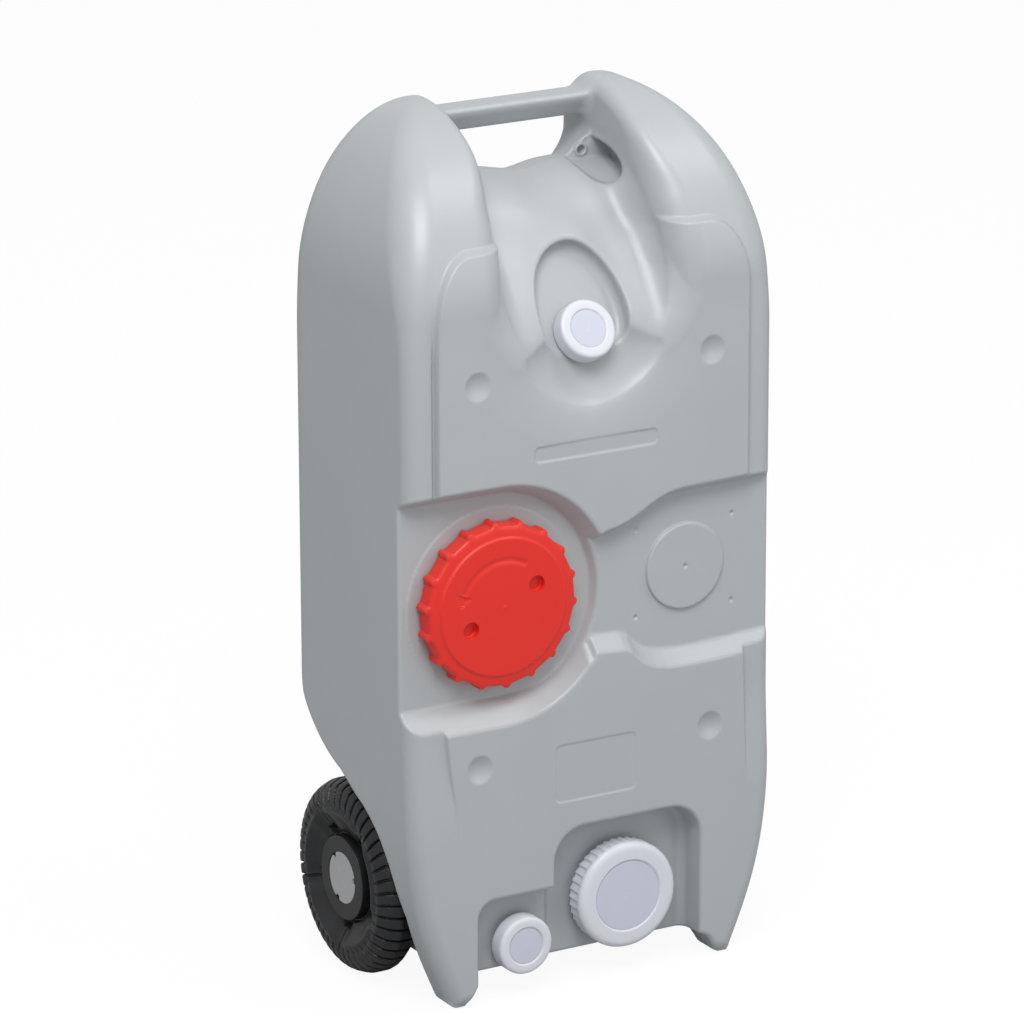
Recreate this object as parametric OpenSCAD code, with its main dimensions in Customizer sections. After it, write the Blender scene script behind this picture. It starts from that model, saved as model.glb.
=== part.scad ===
// Roll-along water tank: a tall blow-moulded container with a grip bar across its top,
// four screw caps on its front, two feet in front and two wheels at the back.
// Millimetres. X is to the right seen from the front, Y to the back, Z up.
// The origin is on the floor, under the middle of the object's box.

/* [Overall] */
// Width across the moulded body, and across the outer faces of the wheels
body_w = 375; // [360:1:390]
// Depth from the front panels to the back of the wheels
full_d = 230; // [225:1:245]
// Height from the soles of the feet to the tops of the shoulders
body_h = 800; // [780:1:830]
// How far the wheels stand out behind the back wall
wheel_proud = 6; // [0:1:15]

/* [Moulded body] */
// Wall of the moulding
wall = 4; // [3:0.5:5]
// Radius of the upright front edges
front_r = 18; // [14:1:24]
// Radius of the upright back edges
back_r = 26; // [18:1:34]
// How far the two panels stand out from the body
panel_t = 4.5; // [3:0.5:6]
// Height of the rounded shoulders, from where they start to curve in
shoulder_h = 155; // [130:1:180]
// Half the distance between the tops of the two shoulders
shoulder_x = 90; // [84:1:98]
// Height of the underside between the feet
under_z = 24; // [18:1:30]
// Depth of a foot from front to back
foot_d = 36; // [30:1:38]
// Half the distance between the inner edges of the soles
foot_x = 130; // [126:1:134]
// Height at which the sides start to curve in towards the feet
waist_z = 140; // [120:1:160]
// Place of the plane in which the mould parts, from the middle of the box
parting_y = 10; // [4:1:13]

/* [Panels] */
// Half width of the upper panel
upper_x = 157; // [150:1:162]
// Distance from the top of the shoulders down to the top of the upper panel
upper_drop = 108; // [100:1:120]
// Lower edge of the upper panel, on the right
upper_low_z = 453; // [448:1:458]
// Half width of the lower panel at its top
lower_x = 150; // [144:1:156]
// Top edge of the lower panel, on the right
lower_z = 287; // [280:1:292]
// Height at which the lower panel widens to the whole front
lower_wide_z = 170; // [160:1:180]
// Diameter of the four moulded dimples
dimple_d = 26; // [20:1:32]
// Depth of a dimple
dimple_t = 4; // [2:0.5:5]
// Half the distance between a pair of dimples
dimple_x = 119; // [112:1:126]
// Distance from the top of the shoulders down to the upper pair of dimples
dimple_drop = 223; // [210:1:235]
// Height of the lower pair of dimples
dimple_low_z = 225; // [215:1:235]
// Width of the bare slot on the upper panel
slot_w = 125; // [110:1:140]
// Height of the bare slot
slot_h = 14; // [10:1:18]
// Distance from the top of the shoulders down to the middle of the bare slot
slot_drop = 294; // [285:1:300]
// Width of the bare frame on the lower panel
frame_w = 83; // [70:1:95]
// Height of the bare frame
frame_h = 54; // [45:1:62]
// Height of the middle of the bare frame
frame_z = 206; // [200:1:212]
// Width and depth of the line that draws the frame
line_t = 1.2; // [0.8:0.1:2]

/* [Valley and grip] */
// Half width of the valley between the shoulders, at its top
valley_top_x = 78; // [74:1:82]
// Half width of the valley where it is widest, on the front
valley_wide_x = 85; // [80:1:88]
// Distance from the top of the shoulders down to the crest of the dome
crest_drop = 76; // [68:1:84]
// Height of the valley on the front, from its foot to the crest of the dome
valley_h = 183; // [176:1:189]
// Place of the crest from the middle of the box
crest_y = 30; // [24:1:36]
// How far the valley floor falls from the crest to the back wall
valley_fall = 34; // [24:1:44]
// Grip bar, front to back
bar_d = 31; // [28:1:34]
// Grip bar, top to bottom
bar_h = 23; // [20:1:28]
// Radius of the bar's edges
bar_r = 9; // [6:0.5:11]
// Distance from the top of the shoulders down to the top of the grip bar
bar_drop = 9; // [6:1:14]
// Place of the middle of the bar from the middle of the box
bar_y = 42; // [34:1:48]
// Thickness of the two webs beside the dome
web_t = 6; // [4:0.5:8]
// Diameter of the eye through each web
eye_d = 8; // [6:0.5:10]
// Half the distance between the eyes
eye_x = 67; // [65:0.5:69]
// Height of the eyes above the crest
eye_up = 11; // [9:0.5:13]

/* [Middle recess] */
// Depth of the recess on the right, behind the panels
band_t = 14; // [10:0.5:17]
// Radius of the round scoop in front, around the cleanout cap
scoop_r = 110; // [106:1:114]
// Depth of the round scoop behind the panels
scoop_t = 23; // [20:0.5:26]
// Diameter of the round boss in the right of the recess
boss_d = 80; // [70:1:90]
// How far the boss stands out
boss_t = 3; // [2:0.5:4]
// Place of the boss from the middle
boss_x = 99; // [95:1:103]
// Height of the boss
boss_z = 376; // [372:1:380]
// Diameter of the small dents round the boss
pip_d = 4; // [3:0.5:5]
// Half the distance between the dents, across
pip_x = 50; // [46:1:52]
// Half the distance between the dents, up and down
pip_z = 41; // [38:1:44]

/* [Cleanout opening] */
// Place of the opening from the middle, to the left
clean_x = 94; // [90:1:97]
// Height of the opening
clean_z = 372; // [368:1:376]
// Diameter of the cap without its lugs
clean_cap_d = 148; // [144:0.5:150]
// Height of the cap
clean_cap_h = 20.5; // [18:0.5:21]
// Outer diameter of the neck
clean_neck_d = 120; // [114:0.5:124]
// Bore of the neck
clean_bore_d = 104; // [96:0.5:106]
// Number of lugs around the cap
clean_lugs = 18; // [12:1:24]
// How far a lug stands out
lug_t = 3; // [2:0.5:4]
// Width of a lug
lug_w = 7; // [5:0.5:9]
// Diameter of the two key sockets in the cap
key_d = 16; // [12:0.5:18]
// Depth of the key sockets
key_t = 7; // [4:0.5:8]
// Half the distance between the key sockets
key_x = 37; // [33:0.5:39]

/* [Vent opening] */
// Distance from the top of the shoulders down to the middle of the cap's face
vent_drop = 190; // [184:1:196]
// Upward tilt of the vent's axis, in degrees
vent_tilt = 30; // [26:1:34]
// Radius of the round foot of the pocket that the vent stands in
vent_pocket_r = 44; // [40:1:46]
// Distance from the vent's axis to the top of its pocket
vent_pocket_h = 90; // [84:1:94]
// Radius of the top of the pocket
vent_pocket_top_r = 24; // [20:1:28]

/* [Drain opening] */
// Place of the drain from the middle, to the right
drain_x = 34; // [32:0.5:36]
// Height of the drain
drain_z = 77; // [75:0.5:80]
// Diameter of the drain's screw ring
drain_cap_d = 101; // [96:0.5:104]
// Height of the drain's screw ring
drain_cap_h = 22; // [20:0.5:24]
// Outer diameter of the neck
drain_neck_d = 80; // [76:0.5:84]
// Bore of the neck
drain_bore_d = 68; // [60:0.5:70]
// Window of the screw ring, where the disc shows
drain_window_d = 66; // [60:0.5:70]
// Number of ribs around the drain's screw ring
drain_ribs = 36; // [24:1:48]

/* [Spout opening and the small rings] */
// Place of the spout from the middle, to the left
spout_x = 72; // [70:0.5:74]
// Height of the spout
spout_z = 49; // [48:0.5:50]
// Diameter of the small screw rings on the vent and the spout
small_cap_d = 54; // [50:0.5:56]
// Height of the small screw rings
small_cap_h = 16; // [14:0.5:18]
// Outer diameter of the small necks
small_neck_d = 40; // [37:0.5:42]
// Bore of the small necks
small_bore_d = 31; // [27:0.5:33]
// Window of the small rings, where the disc shows
small_window_d = 34; // [30:0.5:36]

/* [Caps in common] */
// Thickness of a cap's face or of a ring's lip
lip_t = 3; // [2.5:0.5:4]
// Width of the chamfer round a ring's face
ring_edge = 2; // [1:0.5:3]
// Width of a rib on the drain's ring
rib_w = 4; // [3:0.5:5]
// Thickness of a closing disc's rim
disc_t = 2.5; // [2:0.5:3]
// Thickness of a seal
seal_t = 2; // [1.5:0.5:2.5]
// Gap on the radius between a neck and its cap
cap_gap = 0.6; // [0.3:0.1:1]
// Gap between a turning ring and its disc
face_gap = 0.15; // [0.1:0.05:0.3]

/* [Wheels] */
// Diameter of a wheel
wheel_d = 180; // [172:1:184]
// Width of a wheel's tyre part
tyre_w = 44; // [38:1:46]
// Radius of the tyre's shoulders
tyre_r = 18; // [12:1:20]
// Number of tread slots
tread_n = 60; // [24:1:72]
// Depth of a tread slot
tread_t = 3; // [2:0.5:4]
// Width of a tread slot
tread_w = 2.6; // [2:0.2:4]
// Gap between a wheel and its niche
niche_gap = 5; // [4:1:6]
// How far the niche's roof rises from above the wheel to the back wall
niche_rise = 88; // [80:1:96]
// Diameter of the axle
axle_d = 12; // [10:0.5:14]
// Outer diameter of a hub bush
bush_d = 20; // [18:0.5:24]
// Length of a hub bush in its bore
bush_l = 13; // [10:0.5:16]
// Diameter of a bush's collar
collar_d = 28; // [26:0.5:32]
// Thickness of a bush's collar
collar_t = 1.5; // [1:0.25:2]
// Thickness of a washer
washer_t = 2; // [1.5:0.5:2.5]
// Diameter of the hub's front ring
hub_ring_d = 78; // [72:1:84]
// Diameter of the hub cap
hub_cap_d = 48; // [44:0.5:52]
// Thickness of the hub cap
hub_cap_t = 3; // [2.5:0.5:4]
// How far the hub cap lies behind the wheel's outer face
hub_cap_in = 2; // [1:0.5:4]
// Gap on the radius of a running fit
run_gap = 0.05; // [0.03:0.01:0.1]

/* [Hidden] */
$fn = 72;

grey = [0.67, 0.69, 0.71];
red = [0.88, 0.22, 0.18];
white = [0.92, 0.93, 0.95];
disc_grey = [0.80, 0.81, 0.85];
black = [0.13, 0.13, 0.14];
steel = [0.70, 0.71, 0.72];
nylon = [0.85, 0.84, 0.80];
rubber = [0.20, 0.20, 0.20];

half_w = body_w / 2;
front_y = -full_d / 2;
back_y = full_d / 2 - wheel_proud;
over = 20;

// Heights that follow the top of the shoulders
shoulder_z = body_h - shoulder_h;
upper_z = body_h - upper_drop;
dimple_up_z = body_h - dimple_drop;
slot_z = body_h - slot_drop;
crest_z = body_h - crest_drop;
valley_low_z = crest_z - valley_h;
dome_low_z = valley_low_z + 3 * wall;
valley_back_z = crest_z - valley_fall;
bar_top_z = body_h - bar_drop;
eye_z = crest_z + eye_up;
vent_z = body_h - vent_drop;

wheel_r = wheel_d / 2;
wheel_y = full_d / 2 - wheel_r;
wheel_z = wheel_r;
niche_r = wheel_r + niche_gap;
niche_top = wheel_z + niche_r;

scoop_y = front_y + scoop_t;
band_y = front_y + band_t;
ledge_t = 20;

// Places of the neck rims, and what stands between a rim and the face of its cap
ring_stack = lip_t + face_gap + disc_t + seal_t;
clean_stack = lip_t + 2 + seal_t;

// Points of a quarter of a superellipse, from its side to its top
function quarter(cx, cz, a, b, power, from, to, steps) =
    [for (i = [0:steps]) let (t = from + (to - from) * i / steps)
        [cx + a * sign(cos(t)) * pow(abs(cos(t)), 2 / power),
         cz + b * sign(sin(t)) * pow(abs(sin(t)), 2 / power)]];

function flip(points) = [for (i = [len(points) - 1:-1:0]) [-points[i][0], points[i][1]]];

// Right half of the body seen from the front, from the middle of its underside upwards
side_curve = quarter(foot_x + 13, waist_z, half_w - foot_x - 13, waist_z, 1.3, -88, 0, 10);
shoulder_curve = quarter(shoulder_x, shoulder_z, half_w - shoulder_x, body_h - shoulder_z, 2, 0, 90, 16);
front_half = concat(
    [[0, under_z], [foot_x - 12, under_z], [foot_x, 0]],
    [[foot_x + 13, 0]],
    side_curve,
    shoulder_curve,
    [[shoulder_x - 6, body_h - 1], [shoulder_x - 14, body_h - 7], [0, body_h - 7]]);
front_outline = concat(front_half, flip(front_half));

// The body seen from the side; its front plane moves back where there is no panel
function side_outline(front) = concat(
    [[front, 0], [front + foot_d, 0], [front + foot_d + 10, under_z]],
    [[back_y - 34, under_z], [back_y, under_z + 46], [back_y, shoulder_z]],
    quarter(44, shoulder_z - 5, back_y - 44, body_h - shoulder_z + 5, 2, 0, 90, 10),
    [for (p = quarter(-44, shoulder_z - 5, 44 - front, body_h - shoulder_z + 5, 1.9, 84, 0, 12)) [-p[0], p[1]]]);

// The air above the dome, from the front to the back
dome_curve = [for (p = quarter(-crest_y, dome_low_z, crest_y - front_y + 1, crest_z - dome_low_z, 1.6, 0, 88, 14))
    [-p[0], p[1]]];
valley_air = concat(
    [[front_y - over, valley_low_z - 4], [front_y, valley_low_z]],
    dome_curve,
    [[crest_y + 45, crest_z - 10], [back_y + over, valley_back_z - 4]],
    [[back_y + over, body_h + over], [front_y - over, body_h + over]]);
valley_half = concat(
    [[0, valley_low_z], [0.35 * valley_wide_x, valley_low_z + 0.03 * valley_h]],
    [[0.68 * valley_wide_x, valley_low_z + 0.15 * valley_h], [0.91 * valley_wide_x, valley_low_z + 0.35 * valley_h]],
    [[valley_wide_x, valley_low_z + 0.6 * valley_h], [valley_wide_x - 1, valley_low_z + 0.79 * valley_h]],
    [[valley_top_x, crest_z + 8], [valley_top_x, body_h + over]]);
valley_front = concat(valley_half, flip(valley_half));

// The wheel's niche seen from the side
niche_outline = concat(
    [[wheel_y - niche_r - 8, -over], [wheel_y - niche_r - 8, wheel_z - 8]],
    [for (i = [0:7]) let (t = 166 - 56 * i / 7) [wheel_y + niche_r * cos(t), wheel_z + niche_r * sin(t)]],
    [[wheel_y - 2, niche_top + 0.14 * niche_rise], [wheel_y + 20, niche_top + 0.23 * niche_rise]],
    [[wheel_y + 45, niche_top + 0.43 * niche_rise], [wheel_y + 65, niche_top + 0.7 * niche_rise]],
    [[back_y - 2, niche_top + niche_rise], [back_y + over, niche_top + 1.7 * niche_rise], [back_y + over, -over]]);

// Upper panel: its lower edge follows the round scoop down to a cusp, then rises again
cusp_a = 28;
corner_w = 38;
corner_h = 62;
upper_corner = quarter(upper_x - corner_w, upper_z - corner_h, corner_w, corner_h, 2, 0, 90, 8);
upper_panel = concat(
    [[-upper_x, clean_z + scoop_r]],
    [for (i = [0:10]) let (t = 90 - (90 - cusp_a) * i / 10)
        [-clean_x + scoop_r * cos(t), clean_z + scoop_r * sin(t)]],
    [[40, upper_low_z - 18], [66, upper_low_z - 5], [90, upper_low_z], [upper_x, upper_low_z]],
    upper_corner,
    flip(concat([[upper_x, clean_z + scoop_r]], upper_corner)));

// Lower panel: straight on the left, round the scoop, a small step, then straight again
lower_panel = concat(
    [[-half_w - over, -over], [half_w + over, -over], [half_w + over, lower_wide_z]],
    [[lower_x - 3, lower_wide_z + 22], [lower_x, lower_z - 70], [lower_x, lower_z + 1]],
    [[100, lower_z], [67, lower_z + 4], [47, lower_z + 14], [34, lower_z + 24]],
    [for (i = [0:10]) let (t = -32 - 58 * i / 10)
        [-clean_x + scoop_r * cos(t), clean_z + scoop_r * sin(t)]],
    [[-lower_x, clean_z - scoop_r], [-lower_x, lower_z - 70], [-lower_x + 3, lower_wide_z + 22]],
    [[-half_w - over, lower_wide_z]]);

// Pockets for the drain and the spout, seen from the front
drain_pocket_x = drain_x;
drain_pocket_w = 153;
drain_pocket_top = drain_z + 76;
spout_pocket_top = spout_z + 50;
spout_pocket_w = 90;

// Extrudes a shape drawn in X and Z from y0 to y1
module along_y(y0, y1) {
    translate([0, y1, 0])
        rotate([90, 0, 0])
            linear_extrude(y1 - y0)
                children();
}

// Extrudes a shape drawn in Y and Z from x0 to x1
module along_x(x0, x1) {
    translate([x0, 0, 0])
        rotate([90, 0, 90])
            linear_extrude(x1 - x0)
                children();
}

// Puts an outward-pointing Z axis at the middle of a cap's face
module at_opening(x, y, z, tilt = 0) {
    translate([x, y, z])
        rotate([90 - tilt, 0, 0])
            children();
}

module at_clean() { at_opening(-clean_x, front_y, clean_z) children(); }
module at_drain() { at_opening(drain_x, front_y, drain_z) children(); }
module at_spout() { at_opening(-spout_x, front_y, spout_z) children(); }
module at_vent() {
    at_opening(0, front_y + small_cap_d / 2 * sin(vent_tilt) + face_gap, vent_z, vent_tilt) children();
}

// A rectangle with round corners, drawn with true arcs
module round_rect(w, h, r) {
    square([w - 2 * r, h], center = true);
    square([w, h - 2 * r], center = true);
    for (x = [-1, 1], y = [-1, 1])
        translate([x * (w / 2 - r), y * (h / 2 - r)])
            circle(r);
}

// The body's plan, smaller by inset all round
module plan(front, inset) {
    w = half_w - inset;
    fr = front_r - inset;
    br = back_r - inset;
    translate([-w, front + inset + fr])
        square([2 * w, back_y - front - 2 * inset - fr - br]);
    translate([-w + fr, front + inset])
        square([2 * (w - fr), fr + 1]);
    translate([-w + br, back_y - inset - br - 1])
        square([2 * (w - br), br + 1]);
    for (x = [-1, 1]) {
        translate([x * (w - fr), front + inset + fr])
            circle(fr);
        translate([x * (w - br), back_y - inset - br])
            circle(br);
    }
}

// The body without its hollows, smaller by inset all round
module block(front, inset) {
    intersection() {
        along_y(front_y - over, back_y + over)
            offset(delta = -inset)
                polygon(front_outline);
        along_x(-half_w - over, half_w + over)
            offset(delta = -inset)
                polygon(side_outline(front));
        linear_extrude(body_h + over)
            plan(front, inset);
    }
}

// What is cut out of the block, larger by grow all round
module hollows(grow) {
    valley(grow);
    niches(grow);
    scoop(grow);
    band(grow);
    pockets(grow);
    vent_pocket(grow);
}

module valley(grow) {
    intersection() {
        along_x(-half_w, half_w)
            offset(delta = grow)
                polygon(valley_air);
        along_y(front_y - 2 * over, back_y + 2 * over)
            offset(delta = grow)
                polygon(valley_front);
    }
}

niche_x = half_w - tyre_w - 8.5;
module niches(grow) {
    for (x = [-half_w - over, niche_x - grow])
        along_x(x, x + half_w + over - niche_x + grow)
            offset(delta = grow)
                polygon(niche_outline);
}

module scoop(grow) {
    depth = scoop_t + grow;
    at_clean() {
        translate([0, 0, -depth])
            cylinder(h = depth + 1, r1 = scoop_r - ledge_t + grow, r2 = scoop_r + grow + 1);
    }
    z0 = scoop_r - ledge_t + grow;
    z1 = scoop_r + grow + 1;
    along_x(-half_w - over, -clean_x)
        polygon([[front_y - 1, clean_z - z1], [scoop_y + grow, clean_z - z0],
            [scoop_y + grow, clean_z + z0], [front_y - 1, clean_z + z1]]);
}

// The shallow right part of the recess: its lower ledge slopes, with a small step near the scoop
module band(grow) {
    y1 = band_y + grow;
    band_run(48, half_w + over, lower_z, upper_low_z, grow, y1);
    band_run(0, 48, lower_z + 25, upper_low_z - 26, grow, y1);
}

module band_run(x0, x1, z0, z1, grow, y1) {
    along_x(x0 - grow, x1)
        polygon([[front_y - 1, z0 - grow - 1], [y1, z0 + band_t - grow],
            [y1, z1 - band_t / 2 + grow], [front_y - 1, z1 + grow + 1]]);
}

drain_pocket_y = front_y + drain_cap_h + 6;
spout_pocket_y = front_y + small_cap_h + 6;
module pockets(grow) {
    along_y(front_y - over, drain_pocket_y + grow)
        translate([drain_pocket_x, (drain_pocket_top - over) / 2])
            round_rect(drain_pocket_w + 2 * grow, drain_pocket_top + over + 2 * grow, 30 + grow);
    along_y(front_y - over, spout_pocket_y + grow)
        translate([-spout_x - 4, (spout_pocket_top - over) / 2])
            round_rect(spout_pocket_w + 2 * grow, spout_pocket_top + over + 2 * grow, 16 + grow);
}

vent_pocket_t = small_cap_h + 4;
// The vent stands on a flat cut across the dome, round below and narrower at its top
module vent_pocket(grow) {
    low_s = vent_pocket_r - 28;
    top_s = vent_pocket_h - vent_pocket_top_r;
    low_r = vent_pocket_r + grow;
    top_r = vent_pocket_top_r + grow;
    lean = asin((low_r - top_r) / (top_s - low_s));
    at_vent()
        translate([0, 0, -vent_pocket_t - grow])
            linear_extrude(80) {
                translate([0, low_s])
                    circle(low_r);
                translate([0, top_s])
                    circle(top_r);
                polygon([[low_r * cos(lean), low_s + low_r * sin(lean)],
                    [top_r * cos(lean), top_s + top_r * sin(lean)],
                    [-top_r * cos(lean), top_s + top_r * sin(lean)],
                    [-low_r * cos(lean), low_s + low_r * sin(lean)]]);
            }
}

// A neck, from its rim down into the wall of the body
module neck(neck_d, rim, depth) {
    translate([0, 0, -depth])
        cylinder(h = depth - rim, d = neck_d);
}

module bore(bore_d, depth) {
    translate([0, 0, -depth])
        cylinder(h = depth + 1, d = bore_d);
}

// The whole hollow moulding
module moulding() {
    difference() {
        union() {
            difference() {
                union() {
                    block(front_y + panel_t, 0);
                    intersection() {
                        block(front_y, 0);
                        along_y(front_y - over, front_y + 60) {
                            polygon(upper_panel);
                            polygon(lower_panel);
                        }
                    }
                }
                hollows(0);
                difference() {
                    block(front_y + panel_t, wall);
                    hollows(wall);
                    axle_tunnel();
                }
                moulded_marks();
            }
            boss();
            grip_bar();
            webs();
            at_clean() neck(clean_neck_d, clean_stack, scoop_t + wall / 2);
            at_drain() neck(drain_neck_d, ring_stack, drain_pocket_y - front_y + wall / 2);
            at_spout() neck(small_neck_d, ring_stack, spout_pocket_y - front_y + wall / 2);
            at_vent() neck(small_neck_d, ring_stack, vent_pocket_t + wall / 2);
        }
        at_clean() bore(clean_bore_d, scoop_t + wall * 2);
        at_drain() bore(drain_bore_d, drain_pocket_y - front_y + wall * 2);
        at_spout() bore(small_bore_d, spout_pocket_y - front_y + wall * 2);
        at_vent() bore(small_bore_d, vent_pocket_t + wall * 2);
        along_x(-half_w, half_w)
            translate([wheel_y, wheel_z])
                circle(d = axle_d + 2 * run_gap);
        for (x = [-eye_x, eye_x])
            along_y(crest_y - over, crest_y + over)
                translate([x, eye_z])
                    circle(d = eye_d);
        dents();
    }
}

// Everything between two depths
module between(y0, y1) {
    translate([-half_w - over, y0, -over])
        cube([body_w + 2 * over, y1 - y0, body_h + 2 * over]);
}

// The two halves of the one moulding, which meet in the plane where its mould parts
module shell_front() {
    color(grey)
        intersection() {
            moulding();
            between(front_y - over, parting_y);
        }
}

module shell_back() {
    color(grey)
        intersection() {
            moulding();
            between(parting_y, back_y + over);
        }
}

// The moulded tube that carries the axle through the tank
module axle_tunnel() {
    along_x(-half_w, half_w)
        translate([wheel_y, wheel_z])
            circle(d = axle_d + 2 * wall);
}

// Dimples, the bare slot and the bare frame
module moulded_marks() {
    ball_r = (dimple_d * dimple_d / 4 + dimple_t * dimple_t) / (2 * dimple_t);
    for (x = [-dimple_x, dimple_x], z = [dimple_low_z, dimple_up_z])
        translate([x, front_y - ball_r + dimple_t, z])
            sphere(ball_r);
    along_y(front_y - 1, front_y + 1)
        translate([0, slot_z])
            round_rect(slot_w, slot_h, 3);
    along_y(front_y - 1, front_y + 0.8)
        translate([0, frame_z])
            difference() {
                round_rect(frame_w, frame_h, 3);
                round_rect(frame_w - 2 * line_t, frame_h - 2 * line_t, 3 - line_t);
            }
}

module boss() {
    along_y(band_y - boss_t, band_y + wall / 2)
        translate([boss_x, boss_z])
            circle(d = boss_d);
}

// Four small dents round the boss and one in its middle
module dents() {
    for (p = [[-pip_x, -pip_z], [pip_x, -pip_z], [-pip_x, pip_z], [pip_x, pip_z]])
        translate([boss_x + p[0], band_y - 0.5, boss_z + p[1]])
            sphere(d = pip_d, $fn = 24);
    translate([boss_x, band_y - boss_t - 0.5, boss_z])
        sphere(d = pip_d, $fn = 24);
}

bar_half = valley_top_x + wall / 2;
module grip_bar() {
    along_x(-bar_half, bar_half)
        translate([bar_y, bar_top_z - bar_h / 2])
            round_rect(bar_d, bar_h, bar_r);
}

// Thin webs that tie the dome to the shoulders, under the bar
module webs() {
    for (s = [-1, 1])
        along_y(crest_y - web_t / 2, crest_y + web_t / 2)
            polygon([[s * (valley_top_x - 36), crest_z - 3], [s * (valley_top_x + 2), crest_z - 3],
                [s * (valley_top_x + 2), crest_z + 36], [s * (eye_x + 5), eye_z + 21],
                [s * (eye_x - 3), eye_z + 9], [s * (eye_x - 11), eye_z]]);
}

module cleanout_cap() {
    r = clean_cap_d / 2;
    inner_r = clean_neck_d / 2 + cap_gap;
    top_t = lip_t + 2;
    color(red)
        at_clean()
            difference() {
                union() {
                    translate([0, 0, -clean_cap_h])
                        cylinder(h = clean_cap_h - lip_t, r = r);
                    translate([0, 0, -lip_t])
                        cylinder(h = lip_t, r1 = r, r2 = r - lip_t);
                    for (i = [0:clean_lugs - 1])
                        rotate([0, 0, i * 360 / clean_lugs])
                            translate([r - lug_t, -lug_w / 2, -clean_cap_h])
                                cube([2 * lug_t, lug_w, clean_cap_h - lip_t]);
                }
                difference() {
                    translate([0, 0, -clean_cap_h - 1])
                        cylinder(h = clean_cap_h + 1 - top_t, r = inner_r);
                    for (x = [-key_x, key_x])
                        translate([x, 0, -key_t - 2.5])
                            cylinder(h = key_t, d = key_d + 5);
                }
                translate([0, 0, -1])
                    cylinder(h = 2, r = r - 8);
                for (x = [-key_x, key_x])
                    translate([x, 0, -key_t])
                        cylinder(h = key_t + 1, d = key_d);
            }
}

module seal(neck_d, bore_d, rim) {
    translate([0, 0, -rim])
        difference() {
            cylinder(h = seal_t, d = neck_d - 1);
            translate([0, 0, -1])
                cylinder(h = seal_t + 2, d = bore_d + 1);
        }
}

module cleanout_seal() {
    color(rubber)
        at_clean()
            seal(clean_neck_d, clean_bore_d, clean_stack);
}

// A screw ring: a ribbed skirt round the neck and a lip that holds the disc down
module screw_ring(cap_d, cap_h, neck_d, window_d, ribs, rib_t) {
    difference() {
        union() {
            translate([0, 0, -cap_h])
                cylinder(h = cap_h - ring_edge, d = cap_d - 2 * rib_t);
            translate([0, 0, -ring_edge])
                cylinder(h = ring_edge, d1 = cap_d - 2 * rib_t, d2 = cap_d - 2 * rib_t - 2 * ring_edge);
            if (rib_t > 0)
                for (i = [0:ribs - 1])
                    rotate([0, 0, i * 360 / ribs])
                        translate([cap_d / 2 - 2 * rib_t, -rib_w / 2, -cap_h])
                            cube([2 * rib_t, rib_w, cap_h - ring_edge]);
        }
        translate([0, 0, -cap_h - 1])
            cylinder(h = cap_h + 1 - lip_t, d = neck_d + 2 * cap_gap);
        translate([0, 0, -cap_h])
            cylinder(h = cap_h + 1, d = window_d);
    }
}

// A closing disc: a rim under the ring's lip and a raised middle in its window
module closing_disc(neck_d, window_d) {
    rim_top = lip_t + face_gap;
    translate([0, 0, -rim_top - disc_t])
        cylinder(h = disc_t, d = neck_d - 0.4);
    translate([0, 0, -rim_top])
        cylinder(h = rim_top - 1, d = window_d - 0.6);
}

module vent_ring() {
    color(white)
        at_vent()
            screw_ring(small_cap_d, small_cap_h, small_neck_d, small_window_d, 0, 0);
}

module vent_disc() {
    color(disc_grey)
        at_vent()
            closing_disc(small_neck_d, small_window_d);
}

module vent_seal() {
    color(rubber)
        at_vent()
            seal(small_neck_d, small_bore_d, ring_stack);
}

module drain_ring() {
    color(white)
        at_drain()
            screw_ring(drain_cap_d, drain_cap_h, drain_neck_d, drain_window_d, drain_ribs, 1.5);
}

module drain_disc() {
    color(disc_grey)
        at_drain()
            closing_disc(drain_neck_d, drain_window_d);
}

module drain_seal() {
    color(rubber)
        at_drain()
            seal(drain_neck_d, drain_bore_d, ring_stack);
}

module spout_ring() {
    color(white)
        at_spout()
            screw_ring(small_cap_d, small_cap_h, small_neck_d, small_window_d, 0, 0);
}

module spout_disc() {
    color(disc_grey)
        at_spout()
            closing_disc(small_neck_d, small_window_d);
}

module spout_seal() {
    color(rubber)
        at_spout()
            seal(small_neck_d, small_bore_d, ring_stack);
}

// Places along the axle, from the middle outwards, for the parts beside a wheel
inner_washer_x = niche_x + face_gap;
inner_collar_x = inner_washer_x + washer_t + face_gap;
hub_in_x = inner_collar_x + collar_t;
hub_cap_x = half_w - hub_cap_in - hub_cap_t;
hub_out_x = hub_cap_x - 10;
outer_washer_x = hub_out_x + collar_t + face_gap;
push_nut_x = outer_washer_x + washer_t + face_gap;
push_nut_t = 2.5;
axle_half = push_nut_x + push_nut_t + 1.5;

module axle() {
    color(steel)
        along_x(-axle_half, axle_half)
            translate([wheel_y, wheel_z])
                circle(d = axle_d);
}

// A body of revolution about the axle on one side; its shape is drawn in radius and X
module about_axle(side) {
    translate([0, wheel_y, wheel_z])
        rotate([0, side * 90, 0])
            children();
}

module tube(x0, x1, outer_d, inner_d) {
    translate([0, 0, x0])
        difference() {
            cylinder(h = x1 - x0, d = outer_d);
            translate([0, 0, -1])
                cylinder(h = x1 - x0 + 2, d = inner_d);
        }
}

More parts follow.
